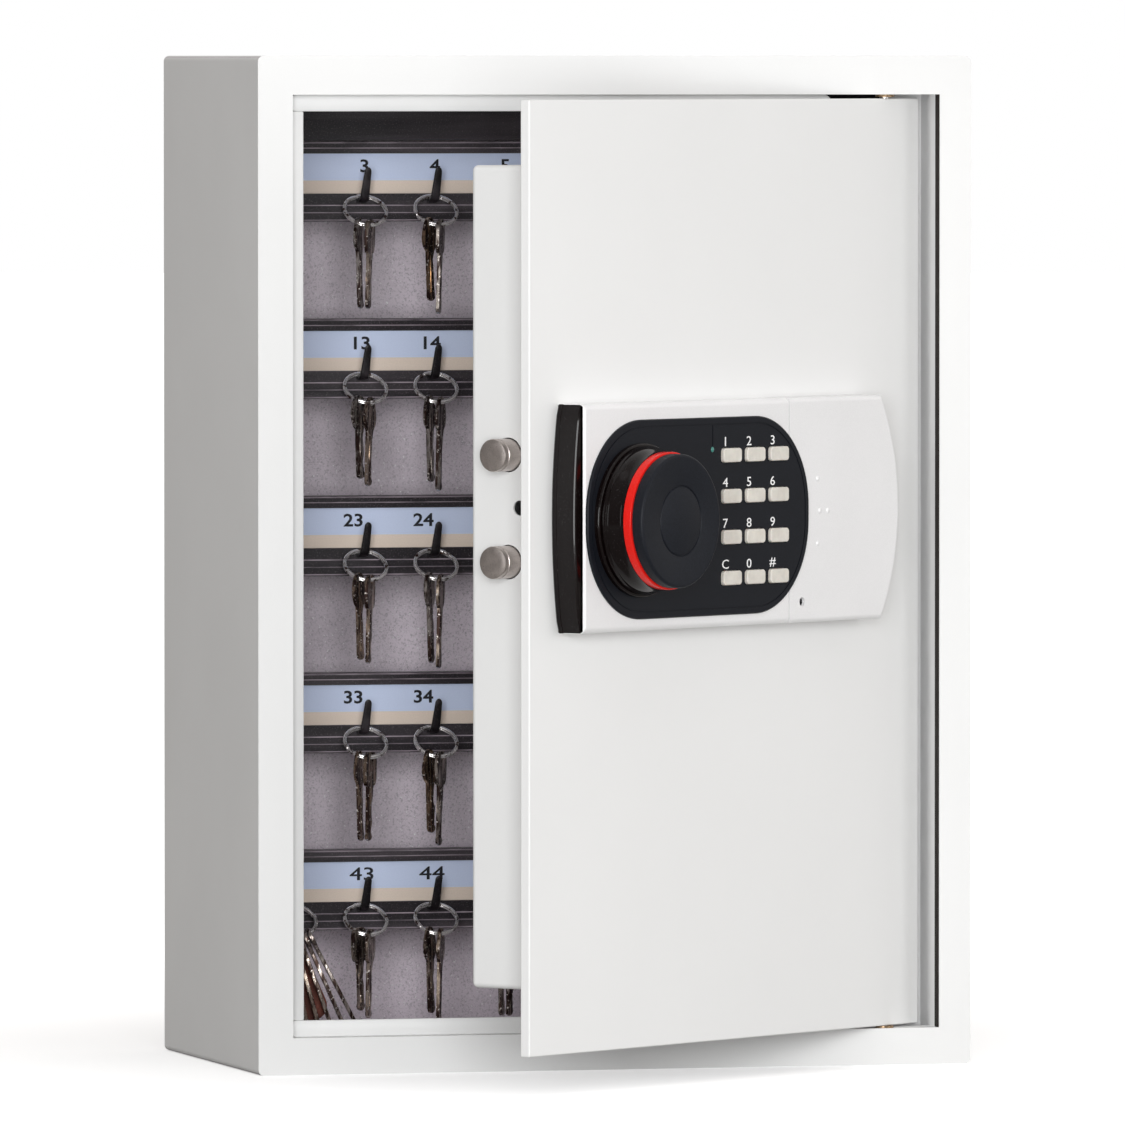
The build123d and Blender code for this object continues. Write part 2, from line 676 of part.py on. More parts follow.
def spindle_bush():
    bush = door_rod(BUSH_BORE_R, KNOB_S, KNOB_Z, (-DOOR_PLATE, 0))
    bush += door_rod(BUSH_RIM_R, KNOB_S, KNOB_Z, (0, 1.5))
    return bush - door_rod(SPINDLE_R + PIN_PLAY, KNOB_S, KNOB_Z, (-DOOR_PLATE - 1, 3))


def plunger_rod(radius, low, high):
    """A round bar on the plunger's line, between two heights below the slide."""
    y = HALF_PLATE + SOLENOID_AXIS
    foot = carriage_low()
    return rod(radius, (-SOLENOID_S, y, foot + low), (-SOLENOID_S, y, foot + high))


def solenoid_body():
    """A push solenoid on the plate, below the slide."""
    s = (SOLENOID_S - SOLENOID_HALF, SOLENOID_S + SOLENOID_HALF)
    high = carriage_low() - SOLENOID_GAP
    body = door_block(s, (-DOOR_PLATE - SOLENOID_DEEP, -DOOR_PLATE), (high - SOLENOID_TALL, high))
    return body - plunger_rod(PLUNGER_BORE_R, -46.0, -10.0)


def solenoid_plunger():
    return plunger_rod(PLUNGER_R, -40.0, -0.8) + plunger_rod(PLUNGER_FLANGE_R, -6.0, -4.5)


def plunger_spring():
    """The return spring between the solenoid's face and the plunger's collar, as a plain sleeve."""
    return plunger_rod(SPRING_R, -15.9, -6.1) - plunger_rod(PLUNGER_BORE_R, -17.0, -5.0)


# ---- lock ----
def bow_face(s_flat, s_corner, s_mid, low, high):
    """A plan outline with one straight end and one bowed end, drawn in (-s, z)."""
    mid_z = (low + high) / 2
    arc = ThreePointArc((-s_corner, low), (-s_mid, mid_z), (-s_corner, high))
    rest = Polyline((-s_corner, high), (-s_flat, high), (-s_flat, low), (-s_corner, low))
    return make_face(arc + rest)


def panel_outline(grow):
    """The control panel's long round-ended outline, grown evenly on every side."""
    wide = PANEL_LEFT - PANEL_RIGHT + 2 * grow
    high = PANEL_TOP - PANEL_BOTTOM + 2 * grow
    mid_s = (PANEL_LEFT + PANEL_RIGHT) / 2
    mid_z = (PANEL_TOP + PANEL_BOTTOM) / 2
    return Pos(-mid_s, mid_z) * RectangleRounded(wide, high, PANEL_CORNER + grow)


def key_places():
    """(name, s, z) of every push button, row by row from the top left."""
    places = []
    for i, name in enumerate(BUTTON_NAMES):
        s = KEY_FIRST_S - KEY_PITCH_S * (i % KEY_COLUMNS)
        places.append((name, s, KEY_FIRST_Z - KEY_PITCH_Z * (i // KEY_COLUMNS)))
    return places


def key_cap_face(s, z, grow):
    size = (KEY_CAP_WIDE + 2 * grow, KEY_CAP_HIGH + 2 * grow)
    return Pos(-s, z) * RectangleRounded(*size, KEY_CORNER_R + grow)


def lock_housing():
    """The lock's main shell, open towards the door, with a tongue under the panel's right end."""
    t = LOCK_WALL
    front = LOCK_PROUD - t
    shell = door_block((LOCK_SPLIT, LOCK_LEFT), (0, LOCK_PROUD), (LOCK_BOTTOM, LOCK_TOP))
    front_edges = shell.faces().sort_by(Axis.Y)[0].edges()
    left_edge = front_edges.filter_by(Axis.Z).sort_by(Axis.X)[:1]
    shell = fillet(front_edges.filter_by(Axis.X) + left_edge, LOCK_EDGE_R)
    shell -= door_block((LOCK_SPLIT + t, LOCK_LEFT - t), (-1, front), (LOCK_BOTTOM + t, LOCK_TOP - t))
    tongue = panel_outline(-TONGUE_INSET) & Pos(-(LOCK_SPLIT - 20), LOCK_MID_Z) * Rectangle(44, 200)
    shell += door_profile(tongue, (front, LOCK_PROUD))
    shell -= door_rod(KNOB_BORE_R, KNOB_S, KNOB_Z, (0, LOCK_PROUD + 1))
    for _, s, z in key_places():
        shell -= door_profile(key_cap_face(s, z, KEY_PLAY), (front - 1, LOCK_PROUD + 1))
    shell -= door_block((LOCK_SPLIT - 1, LOCK_SPLIT + t + 1), (4, 9), (LOCK_MID_Z - 6, LOCK_MID_Z + 6))
    for s, z in lock_screw_places():
        shell += door_rod(LOCK_BOSS_R, s, z, (0, front)) - door_rod(LOCK_SCREW_R, s, z, (0, front))
    return shell


def lock_screw_places():
    up = (LOCK_BOTTOM + LOCK_SCREW_INSET, LOCK_TOP - LOCK_SCREW_INSET)
    return [(s, z) for s in LOCK_SCREW_S for z in up]


def lock_screws():
    """Screws from inside the door into the housing's four bosses."""
    screws = []
    for s, z in lock_screw_places():
        head = door_rod(SCREW_HEAD_R, s, z, (-DOOR_PLATE - 2.5, -DOOR_PLATE))
        screws.append(head + door_rod(LOCK_SCREW_R, s, z, (-DOOR_PLATE, 9)))
    return screws


def end_cap():
    """The bowed end piece on the free-edge side, with bevelled top and bottom corners."""
    face = bow_face(LOCK_LEFT, CAP_CORNER, CAP_MID, LOCK_BOTTOM, LOCK_TOP)
    cap = door_profile(face, (0, LOCK_PROUD - 0.6))
    outer = cap.edges().filter_by(Axis.Y).sort_by(Axis.X)[:2]
    return chamfer(outer, CAP_CHAMFER)


def battery_cover():
    """The sliding cover over the batteries: a bowed-ended shell with a bite for the panel's end."""
    t = COVER_WALL
    split = LOCK_SPLIT - COVER_GAP
    face = bow_face(split, LOCK_RIGHT_CORNER, LOCK_RIGHT_MID, LOCK_BOTTOM, LOCK_TOP)
    shell = door_profile(face, (COVER_LIFT, LOCK_PROUD))
    rim = shell.faces().sort_by(Axis.Y)[0].edges().sort_by(Axis.X)
    shell = fillet(rim[1:], COVER_EDGE_R)
    inner = bow_face(split + 1, LOCK_RIGHT_CORNER + t, LOCK_RIGHT_MID + t, LOCK_BOTTOM + t, LOCK_TOP - t)
    shell -= door_profile(inner, (0, LOCK_PROUD - t))
    shell -= door_profile(panel_outline(0.5), (LOCK_PROUD - t - 1, LOCK_PROUD + 1))
    return shell - door_rod(PORT_R, PORT_S, PORT_Z, (LOCK_PROUD - t - 1, LOCK_PROUD + 1))


def battery_tray():
    """The shallow tray that holds the cells, fixed to the door under the cover."""
    low = LOCK_MID_Z - TRAY_HALF_HIGH
    high = LOCK_MID_Z + TRAY_HALF_HIGH
    t = TRAY_WALL
    tray = door_block(TRAY_S, (0, TRAY_DEEP), (low, high))
    return tray - door_block((TRAY_S[0] + t, TRAY_S[1] - t), (t, TRAY_DEEP + 1), (low + t, high - t))


def battery_places():
    return [CELL_FIRST_S + CELL_PITCH * i for i in range(4)]


def batteries():
    """Four small cells side by side, each with its raised end."""
    cells = []
    for i, s in enumerate(battery_places()):
        flip = 1 if i % 2 else -1
        y = -HALF_PLATE - 7.6
        cell = rod(CELL_R, (-s, y, LOCK_MID_Z - CELL_HALF), (-s, y, LOCK_MID_Z + CELL_HALF))
        end = LOCK_MID_Z + flip * CELL_HALF
        nub = rod(NUB_R, (-s, y, end), (-s, y, end + flip * 1.1))
        cells.append(cell + nub)
    return cells


def battery_contacts():
    """Contact plates at both ends of the tray, one per pair of cells."""
    plates = []
    for end in (-1, 1):
        z = sorted((LOCK_MID_Z + end * 23.0, LOCK_MID_Z + end * 23.6))
        for s in battery_places():
            plates.append(door_block((s - 4.5, s + 4.5), (3, 10), z))
    return plates


def keypad_panel():
    """The dark front panel, bevelled all round, with a window for every button and for the knob."""
    panel = door_profile(panel_outline(0), (LOCK_PROUD, LOCK_PROUD + PANEL_THICK))
    panel = chamfer(panel.faces().sort_by(Axis.Y)[0].edges(), PANEL_CHAMFER)
    groove_n = (PANEL_FACE - PANEL_GROOVE_DEEP, PANEL_FACE + 1)
    inner = panel_outline(-PANEL_GROOVE_INSET - PANEL_GROOVE_WIDE)
    panel -= door_profile(panel_outline(-PANEL_GROOVE_INSET) - inner, groove_n)
    groove_top = PANEL_TOP - PANEL_GROOVE_INSET
    half_groove = PANEL_GROOVE_WIDE / 2
    panel -= door_block((LED_S - half_groove, LED_S + half_groove), groove_n, (LED_Z, groove_top))
    through = (LOCK_PROUD - 1, PANEL_FACE + 1)
    panel -= door_rod(KNOB_BORE_R, KNOB_S, KNOB_Z, through)
    for _, s, z in key_places():
        panel -= door_profile(key_cap_face(s, z, KEY_PLAY), through)
    return panel - door_rod(LED_R + 0.1, LED_S, LED_Z, through)


def status_led():
    return door_rod(LED_R, LED_S, LED_Z, (LOCK_PROUD, PANEL_FACE + 0.3))


def circuit_board():
    board = door_block(BOARD_S, BOARD_N, (LOCK_BOTTOM + BOARD_INSET, LOCK_TOP - BOARD_INSET))
    return board - door_rod(KNOB_BORE_R + 1, KNOB_S, KNOB_Z, (BOARD_N[0] - 1, BOARD_N[1] + 1))


def keypad_mat():
    """The rubber mat under the buttons, resting on the board."""
    middle = KEY_FIRST_Z - 1.5 * KEY_PITCH_Z
    centre_s = KEY_FIRST_S - KEY_PITCH_S
    across = (centre_s - MAT_HALF_WIDE, centre_s + MAT_HALF_WIDE)
    return door_block(across, (BOARD_N[1], MAT_TOP), (middle - MAT_HALF_HIGH, middle + MAT_HALF_HIGH))


def push_button(s, z):
    """One button cap with a softly rounded top and a wider foot that keeps it in."""
    cap = door_profile(key_cap_face(s, z, 0), (LOCK_PROUD - LOCK_WALL - 1.2, PANEL_FACE + KEY_CAP_PROUD))
    cap = fillet(cap.faces().sort_by(Axis.Y)[0].edges(), KEY_EDGE_R)
    foot_n = LOCK_PROUD - LOCK_WALL - 2.6
    return cap + door_profile(key_cap_face(s, z, KEY_FOOT_GROW), (foot_n, foot_n + 1.6))


def knob_collar():
    """The fixed rosette round the knob's foot."""
    collar = door_rod(COLLAR_R, KNOB_S, KNOB_Z, (PANEL_FACE, PANEL_FACE + COLLAR_THICK))
    collar = fillet(collar.edges().sort_by(Axis.Y)[0], 1.2)
    return collar - door_rod(KNOB_BORE_R, KNOB_S, KNOB_Z, (PANEL_FACE - 1, SKIRT_BASE))


def knob_body():
    """The turning skirt, slightly tapered, hollow inside, with a boss on the spindle."""
    face = Plane(origin=(-KNOB_S, -HALF_PLATE - SKIRT_BASE, KNOB_Z), x_dir=(1, 0, 0), z_dir=(0, -1, 0))
    skirt = extrude(face * Circle(SKIRT_R), SKIRT_TALL, taper=SKIRT_TAPER)
    skirt = fillet(skirt.edges().sort_by(Axis.Y)[0], 1.0)
    hollow = SKIRT_TALL - SKIRT_ROOF
    skirt -= door_rod(SKIRT_R - SKIRT_WALL, KNOB_S, KNOB_Z, (SKIRT_BASE - 1, SKIRT_BASE + hollow))
    skirt += door_rod(BUSH_RIM_R, KNOB_S, KNOB_Z, (SKIRT_BASE, SKIRT_BASE + hollow + 0.5))
    return skirt - door_rod(SPINDLE_R, KNOB_S, KNOB_Z, (SKIRT_BASE - 1, SPINDLE_END))


def knob_ring():
    """The coloured ring between the knob's skirt and its cap."""
    ring = door_rod(ACCENT_R, KNOB_S, KNOB_Z, (ACCENT_BASE, CAP_BASE))
    return ring - door_rod(ACCENT_BORE_R, KNOB_S, KNOB_Z, (ACCENT_BASE - 1, CAP_BASE + 1))


def knob_cap():
    """The matt cap with a rounded rim, a shallow circular groove and a foot through the coloured ring."""
    cap = door_rod(CAP_R, KNOB_S, KNOB_Z, (CAP_BASE, CAP_FACE))
    cap = fillet(cap.edges().sort_by(Axis.Y)[0], CAP_RIM_R)
    groove = door_rod(CAP_GROOVE_R, KNOB_S, KNOB_Z, (CAP_FACE - 0.7, CAP_FACE + 1))
    groove -= door_rod(CAP_GROOVE_R - 1, KNOB_S, KNOB_Z, (CAP_FACE - 1, CAP_FACE + 2))
    foot = door_rod(ACCENT_BORE_R - 0.3, KNOB_S, KNOB_Z, (ACCENT_BASE, CAP_BASE))
    return cap + foot - groove


# ---- write every node ----
def write_body():
    write("body_wrap", body_wrap())
    write("back_panel", back_panel())
    write("front_frame", front_frame())
    write("door_stops", *stops())
    write("hinge_bushes", *hinge_bushes())


def write_key_bars():
    places = hook_places()
    bunch = bunch_place()
    write("bar_uprights", *bar_uprights())
    rail_z = BAR_TOP + LEDGE_HIGH + 0.4
    top_rail = block((-BAR_HALF, BAR_FACE, rail_z), (BAR_HALF, BAR_FACE + SHEET, TOP - 8))
    write("top_rail", top_rail)
    for i, top in enumerate(bar_tops()):
        write(f"key_bar_{i + 1}", key_bar(top))
    write("label_strips", *label_strips())
    write("key_hooks", *[hook(x, top) for x, top in places])
    write("key_rings", *[key_ring(*place) for _, place in loaded_hooks()])
    for row in range(BAR_COUNT):
        pieces = []
        for index, place in loaded_hooks():
            if index // HOOKS_PER_BAR == row and place != bunch:
                pieces += key_pair(*place, index)
        write(f"keys_row_{row + 1}", *pieces)
    write("key_bunch", *long_key_bunch())
    write("leather_fob", leather_fob())


def write_door():
    write("door_plate", ajar(door_plate()))
    write("hinge_pins", *[ajar(pin) for pin in hinge_pins()])
    write("door_pan", ajar(door_pan()))
    write("door_fixings", *[ajar(piece) for piece in pan_posts() + pan_screws() + lock_screws()])
    write("bolt_guides", *[ajar(guide) for guide in bolt_guides()])
    write("locking_bolts", *[ajar(bolt) for bolt in locking_bolts()])
    write("bolt_carriage", ajar(bolt_carriage()))
    write("spindle_crank", ajar(spindle_crank()))
    write("spindle_bush", ajar(spindle_bush()))
    write("solenoid_body", ajar(solenoid_body()))
    write("solenoid_plunger", ajar(solenoid_plunger()))
    write("plunger_spring", ajar(plunger_spring()))


def write_lock():
    write("lock_housing", ajar(lock_housing()))
    write("end_cap", ajar(end_cap()))
    write("battery_cover", ajar(battery_cover()))
    write("battery_tray", ajar(battery_tray()))
    write("batteries", *[ajar(cell) for cell in batteries()])
    write("battery_contacts", *[ajar(plate) for plate in battery_contacts()])
    write("keypad_panel", ajar(keypad_panel()))
    write("status_led", ajar(status_led()))
    write("circuit_board", ajar(circuit_board()))
    write("keypad_mat", ajar(keypad_mat()))
    write("knob_collar", ajar(knob_collar()))
    write("knob_body", ajar(knob_body()))
    write("knob_ring", ajar(knob_ring()))
    write("knob_cap", ajar(knob_cap()))
    for name, s, z in key_places():
        write(f"button_{name}", ajar(push_button(s, z)))


os.makedirs("parts", exist_ok=True)
write_body()
write_key_bars()
write_door()
write_lock()
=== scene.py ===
"""Key cabinet: looks for the packed frame of a wall-mounted steel key cabinet with an electronic lock."""

import json
import math

import bmesh
import bpy
import numpy as np
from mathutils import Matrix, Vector


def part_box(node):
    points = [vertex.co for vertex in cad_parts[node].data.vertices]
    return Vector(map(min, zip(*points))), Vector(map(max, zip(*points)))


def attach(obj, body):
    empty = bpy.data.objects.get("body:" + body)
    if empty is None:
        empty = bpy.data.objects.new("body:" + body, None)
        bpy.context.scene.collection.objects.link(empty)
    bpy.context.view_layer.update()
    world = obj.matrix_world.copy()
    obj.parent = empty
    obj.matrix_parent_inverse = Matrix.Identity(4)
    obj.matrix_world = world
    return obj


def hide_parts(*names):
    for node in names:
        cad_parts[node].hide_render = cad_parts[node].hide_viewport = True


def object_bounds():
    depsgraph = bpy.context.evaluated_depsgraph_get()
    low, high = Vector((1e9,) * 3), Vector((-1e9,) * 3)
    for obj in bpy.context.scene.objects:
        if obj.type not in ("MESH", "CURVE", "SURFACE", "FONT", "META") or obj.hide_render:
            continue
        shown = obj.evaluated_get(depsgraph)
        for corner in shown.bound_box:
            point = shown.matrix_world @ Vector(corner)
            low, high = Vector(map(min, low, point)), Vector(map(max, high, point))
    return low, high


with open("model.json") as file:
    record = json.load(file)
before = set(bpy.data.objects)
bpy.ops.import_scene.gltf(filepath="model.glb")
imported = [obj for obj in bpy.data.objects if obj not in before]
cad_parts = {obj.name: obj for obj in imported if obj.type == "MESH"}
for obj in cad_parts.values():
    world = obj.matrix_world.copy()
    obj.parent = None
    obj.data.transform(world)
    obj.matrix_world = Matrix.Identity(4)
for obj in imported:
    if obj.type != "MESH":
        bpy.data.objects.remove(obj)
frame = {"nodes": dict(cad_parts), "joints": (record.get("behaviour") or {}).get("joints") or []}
CAD_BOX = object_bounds()

bl_info = {
    "name": "Key cabinet",
    "version": (1, 0, 0),
    "blender": (4, 5, 0),
    "location": "3D View > Sidebar > Key cabinet",
    "description": "Builds the visible pieces and finishes of a key cabinet round its fixed frame",
    "category": "Object",
}

MM = 0.001

# ---- places read from the frame ----
JOINTS = {joint["name"]: joint for joint in frame["joints"]}
PIVOT = np.array(JOINTS["door_swing"]["pos_m"])
SWING = math.radians(-JOINTS["door_swing"]["range_deg"][0])
CAD_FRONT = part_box("front_frame")[0][1]
UP = np.array((0.0, 0.0, 1.0))
RIGHT = np.array((1.0, 0.0, 0.0))
OUTWARD = np.array((0.0, -1.0, 0.0))
KEYPAD = ("1", "2", "3", "4", "5", "6", "7", "8", "9", "clear", "0", "hash")
LEGENDS = ("1", "2", "3", "4", "5", "6", "7", "8", "9", "C", "0", "#")

# ---- key bars ----
BAR_COUNT = 5
HOOKS_PER_BAR = 10
HOOK_PITCH = 40.0 * MM
HOOK_SHIFT = -4.0 * MM
EMPTY_HOOKS = (2, 12, 22, 32)
HOOK_ROOT_BACK = 0.6 * MM
HOOK_SHELF_DROP = 26.0 * MM
HOOK_TIP_DROP = 7.5 * MM
RING_REST_DROP = 23.6 * MM
RING_TILT = math.radians(49.0)
LABEL_BLUE_HIGH = 14.8 * MM
# painted highlight lines on the bars: (depth below a label top, half width, strength) of each pale line
PAINTED_HIGHLIGHT_LINES = ((28.5 * MM, 0.3 * MM, 0.75), (32.5 * MM, 0.25 * MM, 0.45), (36.6 * MM, 0.35 * MM, 0.5),
              (91.6 * MM, 0.4 * MM, 0.35), (94.5 * MM, 0.25 * MM, 0.5))
KEY_HANG_MIDDLE = -14.0
KEY_SIDE_ANGLE = 16.0
SEED = 7
NUMBER_DROP = 6.8 * MM
INK_THICK = 0.16 * MM
INK_PROUD = 0.06 * MM

# ---- key blanks, in millimetres and degrees: head is (width, height) ----
KEY_HEAD = (17.0, 20.0)
KEY_BLADE = 7.5
KEY_CUTS = 5
KEY_DEEPEST_CUT = 2.2
LONG_KEY_HEAD = (11.0, 13.0)
LONG_KEY_BLADE = 4.4
LONG_KEY_LONG = 62.0
LONG_KEY_CUTS = 6
LONG_KEY_DEEPEST_CUT = 1.0
BUNCH_COUNT = 5
BUNCH_SWING = -12.0
BUNCH_FAN = -4.0
BUNCH_SPREAD = 15.0
BUNCH_TURN = 84.0

# ---- painted body, cells and lock ----
SHEET_MIDDLE = 0.75 * MM
CELL_BAND_RISE = 10 * MM
GRIP_DOT_SPOTS = ((90.0, 47.0), (88.0, 29.6), (80.5, 29.6), (90.0, 12.0))
GRIP_DOT_TALL = 0.6 * MM
LEGEND_THICK = 0.12 * MM
LEGEND_PROUD = 0.05 * MM
LEGEND_WIDE = 1.4

# ---- studio: each soft box is (name, (width, height), place) in metres; the aim is in millimetres ----
SOFT_BOXES = (("front", (1.5, 1.5), (-0.95, -3.4, 0.2)), ("right", (1.6, 1.8), (2.6, -2.4, 0.3)),
              ("strip", (0.2, 1.4), (-2.4, -1.5, 0.4)), ("top", (2.5, 2.0), (0.0, -1.6, 3.0)))
FILL_FROM_RIGHT = 0.2
FILL_FROM_ABOVE = 0.22
CAMERA_AIM = (-1.31, -110.0, -3.13)


# ---- small geometry tools ----
def ajar(points):
    """Turns closed-door points about the pivot line: x' = px + x cos - y sin, y' = py + x sin + y cos."""
    x, y, z = np.moveaxis(np.asarray(points, float), -1, 0)
    c, s = math.cos(SWING), math.sin(SWING)
    return np.stack((PIVOT[0] + x * c - y * s, PIVOT[1] + x * s + y * c, z), -1)


def shut(points):
    """The reverse of ajar: x = dx cos + dy sin, y = dy cos - dx sin, measured from the pivot."""
    x, y, z = np.moveaxis(np.asarray(points, float) - PIVOT, -1, 0)
    c, s = math.cos(SWING), math.sin(SWING)
    return np.stack((x * c + y * s, y * c - x * s, z), -1)


def node_points(node):
    """The mesh points of a CAD node."""
    mesh = frame["nodes"][node].data
    flat = np.empty(len(mesh.vertices) * 3, np.float32)
    mesh.vertices.foreach_get("co", flat)
    return flat.reshape(-1, 3).astype(float)


def closed_box(node):
    """Lowest and highest corner of a CAD node with the door turned shut."""
    points = shut(node_points(node))
    return points.min(0), points.max(0)


def unit(vector):
    """A vector of length one along the same way."""
    return np.asarray(vector, float) / np.linalg.norm(vector)


def turn_matrix(axis, angle):
    """Rotation about a unit axis by Rodrigues' formula."""
    x, y, z = unit(axis)
    cross = np.array(((0, -z, y), (z, 0, -x), (-y, x, 0)))
    return np.eye(3) + math.sin(angle) * cross + (1 - math.cos(angle)) * cross @ cross


def grid_faces(rows, columns):
    """Quads between neighbouring points of a grid whose columns wrap round."""
    row = np.arange(rows - 1)[:, None]
    column = np.arange(columns)[None, :]
    beside = (column + 1) % columns
    corners = (row * columns + column, row * columns + beside,
               (row + 1) * columns + beside, (row + 1) * columns + column)
    return np.stack(corners, -1).reshape(-1, 4).tolist()


def lofted(points):
    """Rows of points joined by quads, with both end rows filled in."""
    rows, columns = points.shape[:2]
    first = list(range(columns))[::-1]
    last = [(rows - 1) * columns + i for i in range(columns)]
    return points.reshape(-1, 3), grid_faces(rows, columns) + [first, last]


def turned(profile, centre, axis, steps=96):
    """A (radius, height) profile turned about an axis.

    Each point is centre + height * axis + radius * (cos a * side + sin a * other).
    """
    profile = np.asarray(profile, float)
    axis = unit(axis)
    side = unit(np.cross(axis, UP if abs(axis[2]) < 0.9 else RIGHT))
    other = np.cross(axis, side)
    angle = np.arange(steps)[:, None] * 2 * math.pi / steps
    spoke = np.cos(angle) * side + np.sin(angle) * other
    points = centre + profile[:, None, 1:2] * axis + profile[:, None, 0:1] * spoke
    return points.reshape(-1, 3), grid_faces(len(profile), steps)


def swept(path, across, section):
    """A section carried along a path: path + u * across + v * (tangent x across), ends filled."""
    path = np.asarray(path, float)
    tangent = np.gradient(path, axis=0)
    tangent /= np.linalg.norm(tangent, axis=1, keepdims=True)
    across = np.broadcast_to(across, path.shape)
    across = across - (across * tangent).sum(1, keepdims=True) * tangent
    across = across / np.linalg.norm(across, axis=1, keepdims=True)
    over = np.cross(tangent, across)
    section = np.broadcast_to(section, (len(path),) + np.shape(section)[-2:])
    return lofted(path[:, None] + section[..., 0:1] * across[:, None] + section[..., 1:2] * over[:, None])


def soft_box_section(wide, thick, power=0.55, steps=16):
    """A superellipse: u = w/2 * sign(cos a) |cos a|^p, v = t/2 * sign(sin a) |sin a|^p."""
    angle = np.arange(steps) * 2 * math.pi / steps + math.pi / steps
    u = np.sign(np.cos(angle)) * np.abs(np.cos(angle)) ** power * wide / 2
    v = np.sign(np.sin(angle)) * np.abs(np.sin(angle)) ** power * thick / 2
    return np.stack((u, v), -1)


def mitres(outline):
    """At each corner of a counter-clockwise outline, the step that moves both of its sides in by one."""
    edge = np.roll(outline, -1, 0) - outline
    edge /= np.linalg.norm(edge, axis=1, keepdims=True)
    normal = np.stack((-edge[:, 1], edge[:, 0]), 1)
    before = np.roll(normal, 1, 0)
    return (normal + before) / (1 + (normal * before).sum(1, keepdims=True))


def raised(outline, section):
    """A solid facing -y: each (inset, height) draws the (x, z) outline, moved in, at that height."""
    outline = np.asarray(outline, float)
    step = mitres(outline)
    rows = []
    for inset, height in section:
        moved = outline + step * inset
        rows.append(np.stack((moved[:, 0], np.full(len(moved), -height), moved[:, 1]), -1))
    return lofted(np.stack(rows))


def rounded_outline(low, high, corner, steps=8):
    """A counter-clockwise rectangle whose corners are quarter arcs: centre + r * (cos a, sin a)."""
    (x0, z0), (x1, z1) = low, high
    quarter = np.linspace(0, math.pi / 2, steps + 1)
    centres = ((x1 - corner, z1 - corner), (x0 + corner, z1 - corner),
               (x0 + corner, z0 + corner), (x1 - corner, z0 + corner))
    arcs = []
    for i, (x, z) in enumerate(centres):
        angle = quarter + i * math.pi / 2
        arcs.append(np.stack((x + corner * np.cos(angle), z + corner * np.sin(angle)), -1))
    return np.concatenate(arcs)


def moved(shape, shift, turn=None):
    """A shape turned by a matrix and then shifted."""
    points, faces = shape
    if turn is not None:
        points = points @ np.asarray(turn).T
    return points + np.asarray(shift), faces


def opened(shape):
    """A shape modelled on the closed door, swung to the stored angle."""
    return ajar(shape[0]), shape[1]


def curve_shape(curve):
    """The mesh of a text or flat curve drawn in millimetres, stood up in the x-z plane and facing -y."""
    holder = bpy.data.objects.new("outline", curve)
    mesh = bpy.data.meshes.new_from_object(holder)
    flat = np.empty(len(mesh.vertices) * 3, np.float32)
    mesh.vertices.foreach_get("co", flat)
    x, y, z = flat.reshape(-1, 3).astype(float).T * MM
    faces = [list(polygon.vertices) for polygon in mesh.polygons]
    bpy.data.objects.remove(holder)
    bpy.data.curves.remove(curve)
    bpy.data.meshes.remove(mesh)
    return np.stack((x, -z, y), -1), faces


def flat_blank(outlines, thick, bevel):
    """Outlines in millimetres filled between, given a thickness and a small bevel all round."""
    curve = bpy.data.curves.new("blank", "CURVE")
    curve.dimensions = "2D"
    curve.fill_mode = "BOTH"
    curve.extrude = thick / 2 - bevel
    curve.bevel_depth = bevel
    curve.bevel_resolution = 0
    curve.offset = -bevel
    for outline in outlines:
        spline = curve.splines.new("POLY")
        spline.points.add(len(outline) - 1)
        full = np.zeros((len(outline), 4))
        full[:, :2] = outline
        full[:, 3] = 1
        spline.points.foreach_set("co", full.ravel())
        spline.use_cyclic_u = True
    return curve_shape(curve)


def lettering(text, high, weight, thick):
    """A word as a thin solid of a set height in metres, centred on its own middle."""
    curve = bpy.data.curves.new("lettering", "FONT")
    curve.body = text
    curve.size = 10.0
    curve.bevel_depth = weight
    curve.bevel_resolution = 0
    curve.extrude = 1.0
    curve.resolution_u = 3
    points, faces = curve_shape(curve)
    low, top = points.min(0), points.max(0)
    size = top - low
    scale = high / size[2]
    points = points - (low + top) / 2
    return points * (scale, thick / size[1], scale), faces


def joined(shapes):
    """Several shapes as one list of points and faces."""
    points, faces, start = [], [], 0
    for part, part_faces in shapes:
        points.append(part)
        faces += [[index + start for index in face] for face in part_faces]
        start += len(part)
    return np.concatenate(points), faces


def make_piece(name, shapes, body, finish, crease=32.0, tones=None):
    """One mesh object from shapes, with merged seams and outward faces, riding on its body."""
    points, faces = joined(shapes)
    mesh = bpy.data.meshes.new(name)
    mesh.from_pydata(points.tolist(), [], faces)
    if tones is not None:
        layer = mesh.attributes.new("tone", "FLOAT", "POINT")
        layer.data.foreach_set("value", np.repeat(tones, [len(part) for part, _ in shapes]))
    work = bmesh.new()
    work.from_mesh(mesh)
    bmesh.ops.remove_doubles(work, verts=work.verts, dist=0.002 * MM)
    bmesh.ops.recalc_face_normals(work, faces=work.faces)
    work.to_mesh(mesh)
    work.free()
    mesh.shade_smooth()
    mesh.set_sharp_from_angle(angle=math.radians(crease))
    mesh.materials.append(finish)
    piece = bpy.data.objects.new(name, mesh)
    bpy.context.scene.collection.objects.link(piece)
    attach(piece, body)
    return piece


def dress(finish, *nodes):
    """Gives CAD nodes a finish."""
    for node in nodes:
        mesh = frame["nodes"][node].data
        mesh.materials.clear()
        mesh.materials.append(finish)


